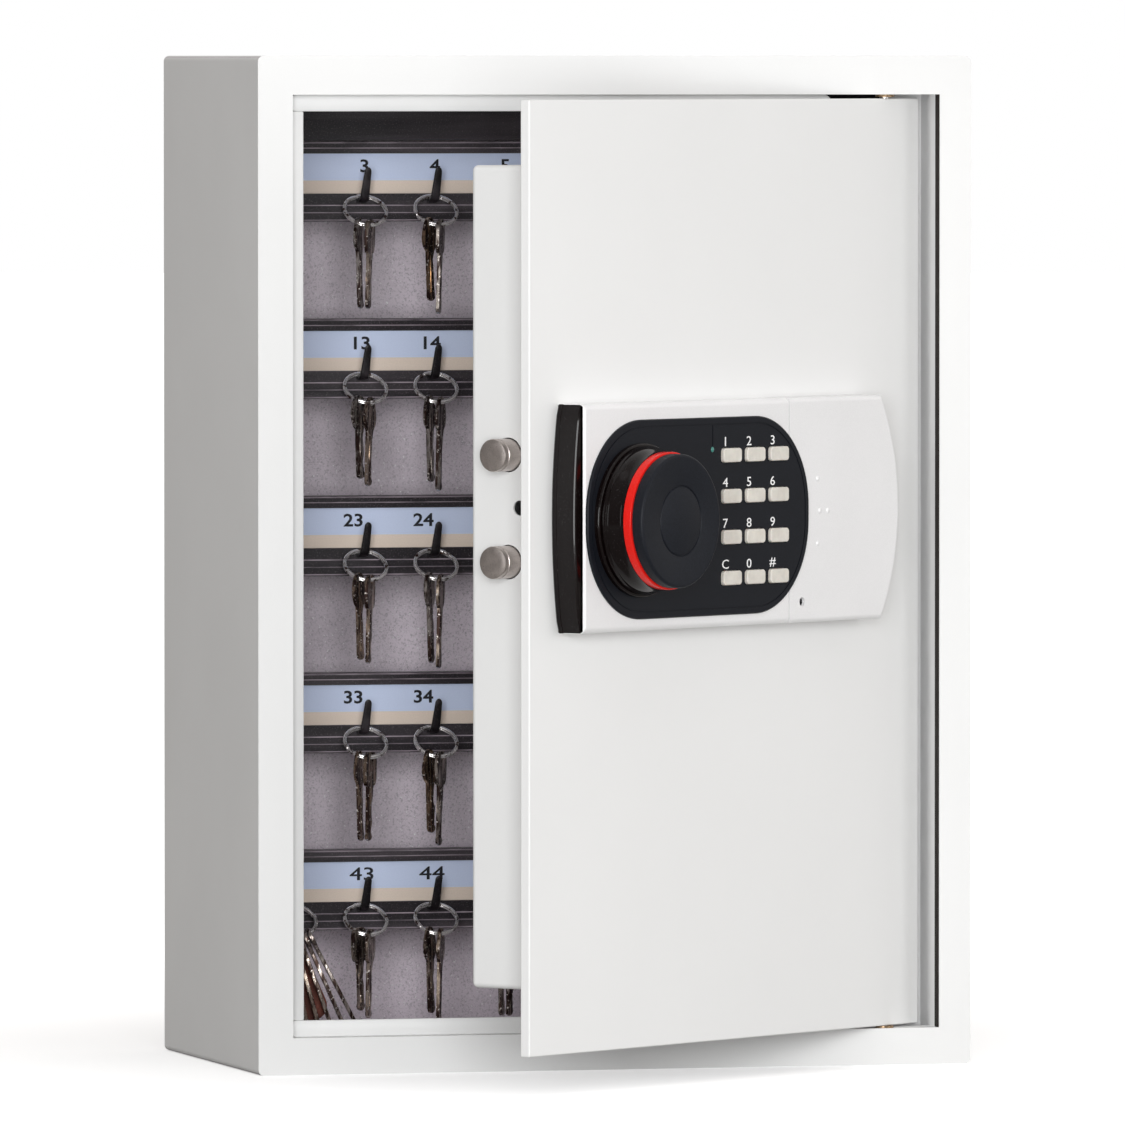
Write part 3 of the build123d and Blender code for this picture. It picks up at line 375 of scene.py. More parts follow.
# ---- shader wiring ----
class Wire:
    """An output socket; arithmetic on it adds Math nodes."""

    def __init__(self, finish, socket):
        self.finish = finish
        self.socket = socket

    def maths(self, operation, *values):
        return self.finish.node("ShaderNodeMath", {"operation": operation}, dict(enumerate(values)))

    def __add__(self, other):
        return self.maths("ADD", self, other)

    __radd__ = __add__

    def __sub__(self, other):
        return self.maths("SUBTRACT", self, other)

    def __rsub__(self, other):
        return self.maths("SUBTRACT", other, self)

    def __mul__(self, other):
        return self.maths("MULTIPLY", self, other)

    __rmul__ = __mul__

    def __truediv__(self, other):
        return self.maths("DIVIDE", self, other)

    def __gt__(self, other):
        return self.maths("GREATER_THAN", self, other)

    def __lt__(self, other):
        return self.maths("LESS_THAN", self, other)


class Finish:
    """A Principled material under construction, with the nodes that its pattern needs."""

    def __init__(self, name, **constants):
        self.material = bpy.data.materials.new(name)
        self.material.use_nodes = True
        self.tree = self.material.node_tree
        self.shader = self.tree.nodes["Principled BSDF"]
        for socket, value in constants.items():
            self.feed(self.shader.inputs[socket.replace("_", " ")], value)

    def feed(self, socket, value):
        if isinstance(value, Wire):
            self.tree.links.new(value.socket, socket)
        elif isinstance(value, (tuple, list)) and socket.type == "RGBA":
            socket.default_value = (*value[:3], 1.0)
        else:
            socket.default_value = value

    def node(self, kind, settings=None, inputs=None, output=0):
        """Adds a node: its settings first, then the values or links of its sockets."""
        made = self.tree.nodes.new(kind)
        for key, value in (settings or {}).items():
            if key == "stops":
                self.set_stops(made.color_ramp, value)
            else:
                setattr(made, key, value)
        for key, value in (inputs or {}).items():
            self.feed(made.inputs[key], value)
        return Wire(self, made.outputs[output])

    @staticmethod
    def set_stops(ramp, stops):
        while len(ramp.elements) < len(stops):
            ramp.elements.new(0.5)
        for element, (place, value) in zip(ramp.elements, stops):
            element.position = place
            element.color = (*value, 1.0) if isinstance(value, (tuple, list)) else (value, value, value, 1.0)

    def place(self, turn=0.0, scale=(1.0, 1.0, 1.0)):
        """Object coordinates, turned about the vertical so that a pattern can follow the open door."""
        plain = self.node("ShaderNodeTexCoord", output="Object")
        if turn == 0.0 and scale == (1.0, 1.0, 1.0):
            return plain
        turned_place = self.node("ShaderNodeMapping", None, {"Vector": plain, "Rotation": (0.0, 0.0, -turn)})
        return self.node("ShaderNodeMapping", None, {"Vector": turned_place, "Scale": scale})

    def axes(self, place):
        """The x, y and z of a place as three values."""
        split = self.node("ShaderNodeSeparateXYZ", None, {0: place})
        outputs = split.socket.node.outputs
        return Wire(self, outputs[0]), Wire(self, outputs[1]), Wire(self, outputs[2])

    def noise(self, place, scale, detail=3.0, rough=0.5):
        inputs = {"Vector": place, "Scale": scale, "Detail": detail, "Roughness": rough}
        return self.node("ShaderNodeTexNoise", None, inputs)

    def specks(self, place, scale):
        return self.node("ShaderNodeTexVoronoi", None, {"Vector": place, "Scale": scale})

    def ramp(self, value, *stops):
        return self.node("ShaderNodeValToRGB", {"stops": stops}, {0: value})

    def mix(self, factor, first, second):
        return self.node("ShaderNodeMix", {"data_type": "RGBA"}, {0: factor, 6: first, 7: second}, 2)

    def bump(self, height, distance, strength=1.0):
        inputs = {"Height": height, "Distance": distance, "Strength": strength}
        self.feed(self.shader.inputs["Normal"], self.node("ShaderNodeBump", None, inputs))

    def done(self, colour=None, roughness=None, metallic=None):
        """Links what varies over the surface and hands the material over."""
        for socket, value in (("Base Color", colour), ("Roughness", roughness), ("Metallic", metallic)):
            if value is not None:
                self.feed(self.shader.inputs[socket], value)
        return self.material


def shade(colour, amount):
    """A colour made lighter or darker by a factor."""
    return tuple(min(1.0, channel * amount) for channel in colour[:3])


# ---- finishes ----
def powder_coat(name, colour, depth=0.97, peel=1400.0, turn=0.0, roughness=0.42):
    """Baked powder coat: a fine orange-peel skin and a barely uneven tone."""
    f = Finish(name, Specular_IOR_Level=0.42)
    place = f.place(turn)
    cloud = f.noise(place, 9.0, 4.0)
    grain = f.noise(place, peel, 2.0)
    f.bump(grain, 0.03 * MM, 0.6)
    uneven = f.ramp(cloud * 0.6 + grain * 0.4, (0.3, 0.0), (0.7, 1.0))
    tone = f.mix(uneven, shade(colour, depth), tuple(colour))
    return f.done(tone, roughness + (cloud - 0.5) * 0.12)


def shell_paint(name, outside, inside, half_width, half_height):
    """Light powder coat outside; inside the sheet, speckled grey-mauve paint."""
    f = Finish(name, Specular_IOR_Level=0.4)
    place = f.place()
    x, _, z = f.axes(place)
    out = x.maths("MAXIMUM", x.maths("ABSOLUTE", x) > half_width, z.maths("ABSOLUTE", z) > half_height)
    grain = f.noise(place, 1400.0, 2.0)
    f.bump(grain, 0.03 * MM, 0.6)
    cloud = f.noise(place, 9.0, 4.0)
    light = f.mix(f.ramp(cloud, (0.35, 0.0), (0.65, 1.0)), shade(outside, 0.97), tuple(outside))
    return f.done(f.mix(out, speckle(f, place, inside), light), 0.42 + (cloud - 0.5) * 0.12)


def speckle(f, place, colour):
    """Grey-mauve hammered paint: fine dark flecks and painted glints, bright specks standing in for sparkle
    of light, over soft, uneven tone.
    """
    fleck = f.noise(place, 900.0, 3.0, 0.75)
    soft = f.noise(place, 14.0, 3.0)
    tone = f.mix(f.ramp(soft, (0.35, 0.0), (0.7, 1.0)), shade(colour, 0.82), shade(colour, 1.12))
    dark = f.mix(f.ramp(fleck, (0.3, 1.0), (0.5, 0.0)), tone, shade(colour, 0.55))
    # painted glints: bright specks that paint highlights into the colour
    painted_glint = f.ramp(f.noise(place, 620.0, 2.0, 0.6), (0.62, 0.0), (0.74, 1.0))
    return f.mix(painted_glint, dark, shade(colour, 1.75))


def back_paint(name, outside, inside, middle):
    """The back panel: speckled towards the inside of the cabinet, light towards the wall."""
    f = Finish(name, Specular_IOR_Level=0.4)
    place = f.place()
    _, y, _ = f.axes(place)
    grain = f.noise(place, 900.0, 2.0)
    f.bump(grain, 0.06 * MM, 0.7)
    return f.done(f.mix(y > middle, speckle(f, place, inside), tuple(outside)), 0.4 + (grain - 0.5) * 0.3)


def enamel(name, colour, dust, scale=(1.0, 1.0, 1.0), wear_and_highlight=None):
    """Black enamel with mauve dust, lengthwise wipe marks and, on the bars, painted highlights: thin pale
    lines along the rails' edges.
    """
    f = Finish(name, Specular_IOR_Level=0.38)
    place = f.place(0.0, scale)
    speck = f.ramp(f.noise(f.place(), 1300.0, 3.0, 0.7), (0.56, 0.0), (0.72, 1.0))
    wipe = f.noise(place, 60.0, 4.0)
    f.bump(wipe, 0.05 * MM, 0.5)
    tone = f.mix(speck * 0.32, tuple(colour), tuple(dust))
    tone = f.mix(f.ramp(wipe, (0.5, 0.0), (0.75, 1.0)) * 0.7, tone, shade(dust, 0.3))
    # painted highlight: pale lines in a light tint of the dust colour, repeated at every bar, standing in
    # for light caught along the rails' ribs
    if wear_and_highlight is not None:
        top, pitch, lines = wear_and_highlight
        _, _, z = f.axes(f.place())
        below = (top - z).maths("MODULO", top - z + pitch, pitch)
        broken = f.ramp(f.noise(f.place(0.0, (0.1, 1.0, 1.0)), 500.0, 3.0), (0.35, 0.3), (0.6, 1.0))
        for depth, half, strength in lines:
            line = (below - depth).maths("ABSOLUTE", below - depth) < half
            tone = f.mix(line * broken * strength, tone, shade(dust, 1.9))
    return f.done(tone, 0.22 + wipe * 0.3)


def printed_card(name, blue, beige, top, pitch, blue_high):
    """A printed strip: pale blue above, beige below, repeated at every bar, with a fine paper tooth."""
    f = Finish(name, Specular_IOR_Level=0.35)
    place = f.place()
    _, _, z = f.axes(place)
    below = (top - z).maths("MODULO", top - z, pitch)
    tooth = f.noise(place, 1500.0, 3.0, 0.7)
    soft = f.noise(place, 40.0, 2.0)
    upper = f.mix(tooth, shade(blue, 0.9), shade(blue, 1.06))
    lower = f.mix(tooth, shade(beige, 0.84), shade(beige, 1.08))
    f.bump(tooth, 0.02 * MM, 0.5)
    return f.done(f.mix(below > blue_high, upper, lower), 0.5 + (soft - 0.5) * 0.2)


def worn_metal(name, bright, dark, scale, cover=(0.42, 0.62), roughness=0.28, metallic=1.0):
    """Handled metal: bright high spots and dark tarnish in fine uneven patches."""
    f = Finish(name, Metallic=metallic)
    place = f.place()
    patch = f.ramp(f.noise(place, scale, 4.0, 0.65), (cover[0], 0.0), (cover[1], 1.0))
    scratch = f.noise(f.place(0.0, (1.0, 1.0, 0.12)), scale * 6.0, 2.0)
    f.bump(scratch, 0.02 * MM, 0.5)
    return f.done(f.mix(patch, tuple(dark), tuple(bright)), roughness + (1 - patch) * 0.2 + scratch * 0.12)


def key_metal(name, nickel, brass, dark):
    """Keys: each is nickel or brass by its own tone, with tarnish in patches and bright worn specks."""
    f = Finish(name, Metallic=0.85)
    place = f.place()
    tone = f.node("ShaderNodeAttribute", {"attribute_name": "tone"}, None, "Fac")
    base = f.mix(tone, tuple(brass), tuple(nickel))
    streaked = f.place(0.0, (1.0, 1.0, 0.16))
    stain = f.ramp(f.noise(streaked, 420.0, 4.0, 0.6), (0.46, 0.0), (0.62, 1.0))
    wear_and_highlight = f.ramp(f.noise(place, 640.0, 2.0, 0.6), (0.62, 0.0), (0.68, 1.0))
    f.bump(f.noise(place, 420.0, 3.0), 0.12 * MM, 0.6)
    tarnished = f.mix(stain, tuple(dark), base)
    return f.done(f.mix(wear_and_highlight, tarnished, shade(nickel, 1.5)), 0.2 + (1 - stain) * 0.2)


def base_mix(first, second):
    """The colour halfway between two."""
    return tuple((a + b) / 2 for a, b in zip(first[:3], second[:3]))


def brushed(name, colour, turn, scale, roughness=0.3):
    """Brushed steel: long thin streaks along one way, with tiny dark pits."""
    f = Finish(name, Metallic=1.0)
    streak = f.noise(f.place(turn, scale), 300.0, 4.0, 0.6)
    pit = f.ramp(f.noise(f.place(), 1700.0, 2.0, 0.7), (0.28, 1.0), (0.42, 0.0))
    f.bump(streak, 0.02 * MM, 0.6)
    tone = f.mix(streak, shade(colour, 0.72), shade(colour, 1.15))
    return f.done(f.mix(pit * 0.7, tone, shade(colour, 0.3)), roughness + (streak - 0.5) * 0.25)


def satin_lacquer(name, colour, turn):
    """Silver lacquer: satin, with fine metallic flake."""
    f = Finish(name, Metallic=0.12, Coat_Weight=0.15, Coat_Roughness=0.3)
    place = f.place(turn)
    flake = f.noise(place, 2600.0, 1.0)
    cloud = f.noise(place, 20.0, 3.0)
    f.bump(flake, 0.012 * MM, 0.6)
    uneven = f.ramp(flake * 0.7 + cloud * 0.3, (0.35, 0.0), (0.65, 1.0))
    tone = f.mix(uneven, shade(colour, 0.93), tuple(colour))
    return f.done(tone, 0.34 + (flake - 0.5) * 0.16)


def gloss(name, colour, haze=0.1, coat=0.6, turn=0.0):
    """Glossy moulding: clear skin over a deep colour, with faint dust and swirl."""
    f = Finish(name, Coat_Weight=coat, Coat_Roughness=0.04, Specular_IOR_Level=0.12, Coat_IOR=1.25)
    place = f.place(turn)
    dust = f.ramp(f.noise(place, 1500.0, 2.0, 0.7), (0.66, 0.0), (0.78, 1.0))
    swirl = f.noise(place, 70.0, 4.0)
    f.bump(swirl, 0.03 * MM, 0.25)
    dusty = shade(base_mix(colour, (1, 1, 1)), 0.8)
    return f.done(f.mix(dust * 0.25, tuple(colour), dusty), haze + swirl * 0.1)


def matt(name, colour, grain_scale=1700.0, lift=1.5, roughness=0.46, turn=0.0, relief=0.03):
    """Matt moulding with a fine spark-eroded grain and a little handling shine."""
    f = Finish(name, Specular_IOR_Level=0.2)
    place = f.place(turn)
    grain = f.noise(place, grain_scale, 2.0, 0.6)
    shine = f.noise(place, 30.0, 3.0)
    f.bump(grain, relief * MM, 0.6)
    tone = f.mix(f.ramp(grain, (0.3, 0.0), (0.75, 1.0)), tuple(colour), shade(colour, lift))
    return f.done(tone, roughness + (shine - 0.5) * 0.16)


def ivory(name, colour, turn):
    """Satin push buttons, slightly yellowed and greyer where fingers have been."""
    f = Finish(name, Subsurface_Weight=0.04, Specular_IOR_Level=0.45)
    place = f.place(turn)
    grime = f.ramp(f.noise(place, 160.0, 4.0, 0.6), (0.35, 0.0), (0.7, 1.0))
    grain = f.noise(place, 2100.0, 2.0)
    f.bump(grain, 0.012 * MM, 0.5)
    return f.done(f.mix(grime, shade(colour, 0.86), tuple(colour)), 0.38 + (grain - 0.5) * 0.1)


def hide(name, colour):
    """Worn leather: pebbled grain, creases and a darker, handled edge."""
    f = Finish(name, Specular_IOR_Level=0.35)
    place = f.place()
    pebble = f.specks(place, 900.0)
    wear = f.ramp(f.noise(place, 110.0, 4.0, 0.6), (0.35, 0.0), (0.7, 1.0))
    f.bump(pebble, 0.15 * MM, 0.8)
    tone = f.mix(wear, shade(colour, 0.45), shade(colour, 1.25))
    hollow = f.ramp(pebble, (0.1, 1.0), (0.5, 0.0))
    return f.done(f.mix(hollow * 0.5, tone, shade(colour, 0.3)), 0.45 + (1 - wear) * 0.2)


def board_coat(name, colour, turn):
    """Solder mask over square-cornered tracks."""
    f = Finish(name, Specular_IOR_Level=0.5)
    place = f.place(turn)
    inputs = {"Vector": place, "Scale": 140.0, "Mortar Size": 0.03}
    tracks = f.node("ShaderNodeTexBrick", None, inputs, "Fac")
    speck = f.noise(place, 700.0, 3.0)
    f.bump(tracks, 0.05 * MM)
    return f.done(f.mix(tracks, tuple(colour), shade(colour, 1.9)), 0.25 + speck * 0.2)


def cell_wrap(name, colour, band, middle):
    """A cell's printed sleeve: dark with a copper-coloured upper band."""
    f = Finish(name, Coat_Weight=0.4, Coat_Roughness=0.1, Metallic=0.4)
    place = f.place()
    _, _, z = f.axes(place)
    scuff = f.noise(place, 400.0, 4.0)
    tone = f.mix(z > middle, tuple(colour), tuple(band))
    return f.done(f.mix(f.ramp(scuff, (0.6, 0.0), (0.8, 1.0)), tone, shade(band, 1.4)), 0.2 + scuff * 0.2)


def tinted_lens(name, colour, turn):
    """The small status lamp, unlit: clear tinted skin over a cloudy core."""
    f = Finish(name, Coat_Weight=0.8, Coat_Roughness=0.05, IOR=1.5)
    cloud = f.noise(f.place(turn), 1500.0, 3.0)
    return f.done(f.mix(cloud, shade(colour, 0.6), shade(colour, 1.5)), 0.12 + cloud * 0.1)


# ---- settings ----
def length(name, description, default):
    """A setting in metres."""
    return bpy.props.FloatProperty(name=name, description=description, default=default, unit="LENGTH",
                                   precision=5)


def colour(name, description, default):
    """A setting that holds a linear colour."""
    return bpy.props.FloatVectorProperty(name=name, description=description, default=default,
                                         subtype="COLOR", size=3, min=0.0, max=1.0)


def degrees(name, description, default):
    """A setting given in degrees and kept in radians."""
    return bpy.props.FloatProperty(name=name, description=description, default=math.radians(default),
                                   subtype="ANGLE")


def power(name, description, default):
    """A light's power in watts."""
    return bpy.props.FloatProperty(name=name, description=description, default=default, unit="POWER")


class PaintSettings(bpy.types.PropertyGroup):
    """Colours of the painted, printed and moulded surfaces."""

    shell: colour("Shell", "Powder coat of body and door", (0.86, 0.86, 0.855))
    inside: colour("Inside", "Speckled paint inside the cabinet", (0.8, 0.71, 0.78))
    rail: colour("Rails", "Black enamel of bars and hooks", (0.012, 0.009, 0.012))
    # the dust colour also gives the light tint of the painted highlight lines on the bars
    dust: colour("Dust", "Dust and wipe marks on the black enamel", (0.36, 0.3, 0.34))
    label_blue: colour("Label blue", "Upper part of the number strips", (0.66, 0.75, 1.0))
    label_beige: colour("Label beige", "Lower part of the number strips", (0.86, 0.73, 0.62))
    ink: colour("Ink", "Numbers printed on the strips", (0.012, 0.012, 0.016))
    silver: colour("Lock silver", "Lacquer of the lock housing and cover", (0.93, 0.925, 0.93))
    gloss_black: colour("Gloss black", "End cap and turning knob", (0.004, 0.002, 0.002))
    panel_black: colour("Panel black", "Keypad panel and knob cap", (0.005, 0.006, 0.009))
    accent: colour("Accent ring", "Coloured ring of the knob", (0.75, 0.015, 0.01))
    button: colour("Buttons", "Keypad button caps", (0.78, 0.73, 0.66))
    legend: colour("Legends", "Digits beside the buttons", (0.9, 0.9, 0.9))
    leather: colour("Leather", "Tag on the bunch of long keys", (0.2, 0.05, 0.03))


class MetalSettings(bpy.types.PropertyGroup):
    """Colours of the bare and plated metals."""

    nickel: colour("Nickel", "Plated keys and split rings", (0.64, 0.59, 0.55))
    brass: colour("Brass", "Unplated keys and bushes", (0.46, 0.32, 0.2))
    tarnish: colour("Tarnish", "Dark patches on handled metal", (0.045, 0.025, 0.02))
    bolt: colour("Bolt steel", "Locking bolts", (0.58, 0.52, 0.49))
    steel: colour("Steel", "Pins, screws and bolt work", (0.58, 0.56, 0.54))


class KeySettings(bpy.types.PropertyGroup):
    """Sizes of what hangs on the bars."""

    numeral_high: length("Number height", "Height of the printed numbers", 7.2 * MM)
    numeral_weight: bpy.props.FloatProperty(name="Number weight", default=0.19,
                                            description="Thickening of the printed strokes")
    hook_wide: length("Hook width", "Width of a hook's flat prong", 5.2 * MM)
    hook_thick: length("Hook thickness", "Thickness of a hook's prong", 2.0 * MM)
    ring_radius: length("Ring radius", "Middle radius of a split ring", 11.7 * MM)
    ring_wire: length("Ring wire", "Width of the flattened ring wire", 2.3 * MM)
    key_thick: length("Key thickness", "Thickness of a key blank", 2.0 * MM)


class LockSettings(bpy.types.PropertyGroup):
    """Sizes of the lock's small details."""

    legend_high: length("Legend height", "Height of the keypad's digits", 4.9 * MM)
    legend_lift: length("Legend lift", "Distance from a button's centre up to its digit", 7.4 * MM)
    legend_shift: length("Legend shift", "Distance of a digit left of its button's centre", 4.8 * MM)
    grip_dot: length("Grip dot", "Radius of the small domes on the cover", 1.5 * MM)


class StudioSettings(bpy.types.PropertyGroup):
    """Camera, floor and lights."""

    azimuth: degrees("Azimuth", "Camera angle left of straight ahead", 14.84)
    elevation: degrees("Elevation", "Camera angle above the horizon", 1.92)
    distance: length("Distance", "Camera distance from its target", 8.288)
    lens: bpy.props.FloatProperty(name="Lens", default=482.9,
                                  description="Focal length in millimetres on a 36 mm sensor")
    floor_radius: length("Floor radius", "Radius of the plain floor", 30.0)
    front_power: power("Front light", "Soft box beside the camera, which lights the inside", 87.0)
    right_power: power("Right light", "Soft box facing the open door", 21.0)
    top_power: power("Top light", "Soft box overhead", 7.0)
    strip_power: power("Strip light", "Narrow soft box at the left", 3.0)
    fill: bpy.props.FloatProperty(name="Fill", description="Even light from all round", default=0.4,
                                  subtype="FACTOR")
    warmth: colour("Fill colour", "Slightly warm tint of the even light", (1.0, 0.965, 0.94))
    key_colour: colour("Light colour", "Slightly cool tint of the soft boxes", (0.975, 0.99, 1.0))


class Paints:
    """The materials that several pieces share, made once from the settings."""

    made = {}


def settings(context, group):
    """One of the scene's groups of settings."""
    return getattr(context.scene, "key_cabinet_" + group)


def mix_finishes(context):
    """Makes every shared finish from the colours in the settings."""
    paint = settings(context, "paint")
    metal = settings(context, "metal")
    label_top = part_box("label_strips")[1][2]
    pitch = bar_pitch()
    body_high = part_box("body_wrap")[1]
    inner_x = body_high[0] - SHEET_MIDDLE
    inner_z = body_high[2] - SHEET_MIDDLE
    back_middle = (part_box("back_panel")[0][1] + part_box("back_panel")[1][1]) / 2
    cells_low, cells_high = closed_box("batteries")
    band_from = (cells_low[2] + cells_high[2]) / 2 + CELL_BAND_RISE
    # places and strengths of the painted highlight lines on the bars
    rail_highlight_lines = (label_top, pitch, PAINTED_HIGHLIGHT_LINES)
    ring_bright, cell_dark, cell_copper = (0.95, 0.92, 0.91), (0.03, 0.035, 0.08), (0.55, 0.28, 0.12)
    Paints.made = {
        "frame": powder_coat("coat_frame", paint.shell),
        "door": powder_coat("coat_door", paint.shell, turn=SWING),
        "shell": shell_paint("coat_shell", paint.shell, paint.inside, inner_x, inner_z),
        "back": back_paint("coat_back", paint.shell, paint.inside, back_middle),
        "upright": powder_coat("coat_upright", shade(paint.inside, 1.1), 0.85),
        # the door stops: the shell colour made 7% darker, painted shade for the recessed stops
        "stops": powder_coat("coat_stops", shade(paint.shell, 0.93), 0.95, 1900.0),
        "enamel": enamel("enamel_bars", paint.rail, paint.dust, (0.08, 1.0, 1.0), rail_highlight_lines),
        "hooks": enamel("enamel_hooks", shade(paint.rail, 0.35), shade(paint.dust, 0.5)),
        "labels": printed_card("print_labels", paint.label_blue, paint.label_beige, label_top, pitch,
                               LABEL_BLUE_HIGH),
        # near-black matt strip on the hinge side: painted shadow for the gap between the door's hinge edge
        # and the frame
        "shadow_gap": matt("rubber_seal", (0.02, 0.016, 0.014), 900.0, 1.5, 0.8),
        # the door's pan: the shell colour made 4% darker, painted shade on that side of the door
        "shaded_tray": powder_coat("coat_tray", shade(paint.shell, 0.96), 0.98, 1400.0, SWING),
        "ink": matt("ink_numbers", paint.ink, 2500.0, 2.0, 0.6),
        "rings": worn_metal("nickel_rings", ring_bright, shade(metal.tarnish, 1.5), 260.0, (0.4, 0.47), 0.1,
                            0.74),
        "keys": key_metal("metal_keys", metal.nickel, metal.brass, metal.tarnish),
        "brass": worn_metal("brass_bush", metal.brass, shade(metal.brass, 0.3), 400.0),
        "bolt": brushed("steel_bolt", metal.bolt, SWING, (0.15, 1.0, 1.0), 0.34),
        "bright": brushed("steel_bright", shade(metal.steel, 1.35), SWING, (1.0, 1.0, 1.0), 0.16),
        "steel": brushed("steel_parts", metal.steel, SWING, (1.0, 1.0, 0.2), 0.3),
        "guide": matt("guide_plastic", (0.02, 0.02, 0.022), 900.0, 1.8, 0.5),
        "solenoid": worn_metal("solenoid_zinc", (0.45, 0.47, 0.5), (0.2, 0.22, 0.26), 90.0, (0.3, 0.7),
                               0.35),
        "silver": satin_lacquer("lacquer_silver", paint.silver, SWING),
        "gloss": gloss("gloss_black", paint.gloss_black, turn=SWING),
        "panel": matt("panel_black", paint.panel_black, 1500.0, 1.7, 0.42, SWING),
        "cap": matt("cap_black", shade(paint.panel_black, 1.15), 1300.0, 1.8, 0.5, SWING, 0.04),
        "accent": gloss("gloss_red", paint.accent, 0.2, 0.4, SWING),
        "ivory": ivory("ivory_buttons", paint.button, SWING),
        "legend": matt("legend_white", paint.legend, 2500.0, 1.05, 0.5, SWING, 0.005),
        "lens": tinted_lens("lamp_lens", (0.03, 0.2, 0.17), SWING),
        "board": board_coat("board_mask", (0.02, 0.13, 0.05), SWING),
        "mat": matt("rubber_mat", (0.07, 0.07, 0.072), 1000.0, 1.4, 0.75, SWING),
        "cells": cell_wrap("cell_sleeves", cell_dark, cell_copper, band_from),
        "contact": worn_metal("contact_nickel", (0.75, 0.73, 0.7), (0.4, 0.38, 0.36), 200.0, (0.2, 0.6),
                              0.2),
        "leather": hide("hide_fob", paint.leather),
    }


def finish(name):
    """A shared material by its short name."""
    return Paints.made[name]


# ---- cabinet body ----
def stop_lip(low, high, y, thick, ends):
    """A stop's lip: a flat bar whose corners and front edges are rounded, standing on y."""
    bevel = 0.5 * MM
    outline = rounded_outline(low, high, ends)
    section = ((0.0, 0.0), (0.0, thick - bevel), (0.3 * bevel, thick - 0.3 * bevel), (bevel, thick))
    return moved(raised(outline, section), (0.0, y, 0.0))


def stop_shapes():
    """Three stops inside the frame's return; the two level ones end in a full round over the upright one."""
    low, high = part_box("door_stops")
    points = node_points("door_stops")
    left_edge = low[0]
    notch_x = points[np.abs(points[:, 2] - high[2]) < MM, 0].max()
    lip = 9.0 * MM
    back = low[1] + 1.5 * MM
    thick = 1.5 * MM
    full_round = lip / 2 - 0.1 * MM
    top = stop_lip((left_edge, high[2] - lip), (notch_x, high[2]), back, thick, full_round)
    bottom = stop_lip((left_edge, low[2]), (notch_x, low[2] + lip), back, thick, full_round)
    upright_wide = 8.4 * MM
    upright = stop_lip((left_edge, low[2] + lip), (left_edge + upright_wide, high[2] - lip), back,
                       thick - 0.5 * MM, 0.8 * MM)
    leg_back = high[1]
    legs = [leg_shape((left_edge + 6 * MM, high[2] - 1.5 * MM), (notch_x - 5 * MM, high[2]), back, leg_back),
            leg_shape((left_edge + 6 * MM, low[2]), (notch_x - 5 * MM, low[2] + 1.5 * MM), back, leg_back),
            leg_shape((left_edge, low[2] + lip), (left_edge + 1.5 * MM, high[2] - lip), back, leg_back)]
    return [top, bottom, upright] + legs


def leg_shape(low, high, front, back):
    """The flange of a stop that lies along the return."""
    outline = rounded_outline(low, high, 0.4 * MM, 2)
    return moved(raised(outline, ((0.0, 0.0), (0.0, back - front))), (0.0, back, 0.0))


def shadow_gap_strip_shape():
    """A thin dark strip along the hinge-side return, from just behind the front face: painted shadow,
    standing in for the shadowed gap beside the door's hinge edge.
    """
    low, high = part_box("door_stops")
    front = CAD_FRONT
    right = hinge_return_x()
    outline = rounded_outline((right - 0.5 * MM, low[2]), (right, high[2]), 0.2 * MM, 2)
    return moved(raised(outline, ((0.0, 0.0), (0.0, 6.5 * MM))), (0.0, front + 7.2 * MM, 0.0))


def hinge_return_x():
    """Inner face of the frame's return on the hinge side."""
    points = node_points("front_frame")
    edge = points[(points[:, 0] > PIVOT[0]) & (points[:, 1] < CAD_FRONT + 0.1 * MM)]
    inner = edge[np.abs(edge[:, 2]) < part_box("door_stops")[1][2] + MM]
    return inner[:, 0].min()


class KEYCAB_OT_body(bpy.types.Operator):
    """Paints the steel body and makes the three door stops"""

    bl_idname = "keycab.body"
    bl_label = "Body and door stops"

    def execute(self, context):
        mix_finishes(context)
        dress(finish("frame"), "front_frame")
        dress(finish("shell"), "body_wrap")
        dress(finish("back"), "back_panel")
        dress(finish("upright"), "bar_uprights")
        dress(finish("brass"), "hinge_bushes")
        # painted shadow: a dark strip where the cabinet has only the shadowed gap beside the door's hinge
        # edge
        make_piece("hinge_side_seal", [shadow_gap_strip_shape()], "root", finish("shadow_gap"))
        # stop strips in a darker copy of the shell coat: painted shade
        piece = make_piece("stop_strips", stop_shapes(), "root", finish("stops"))
        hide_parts("door_stops")
        return {"FINISHED"}


# ---- key bars ----
def bar_pitch():
    """Height from one key bar to the next."""
    return (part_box("key_bar_1")[0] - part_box("key_bar_2")[0])[2]


def bar_tops():
    """Top edge of the number strip on each bar, from the top bar down."""
    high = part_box("label_strips")[1][2]
    pitch = bar_pitch()
    return [high - pitch * row for row in range(BAR_COUNT)]


def hook_places():
    """(x, label top) of every hook, row by row."""
    first = HOOK_SHIFT - HOOK_PITCH * (HOOKS_PER_BAR - 1) / 2
    return [(first + HOOK_PITCH * i, top) for top in bar_tops() for i in range(HOOKS_PER_BAR)]


def loaded_hooks():
    """Index and place of every hook that carries a ring."""
    return [(i, place) for i, place in enumerate(hook_places()) if i + 1 not in EMPTY_HOOKS]


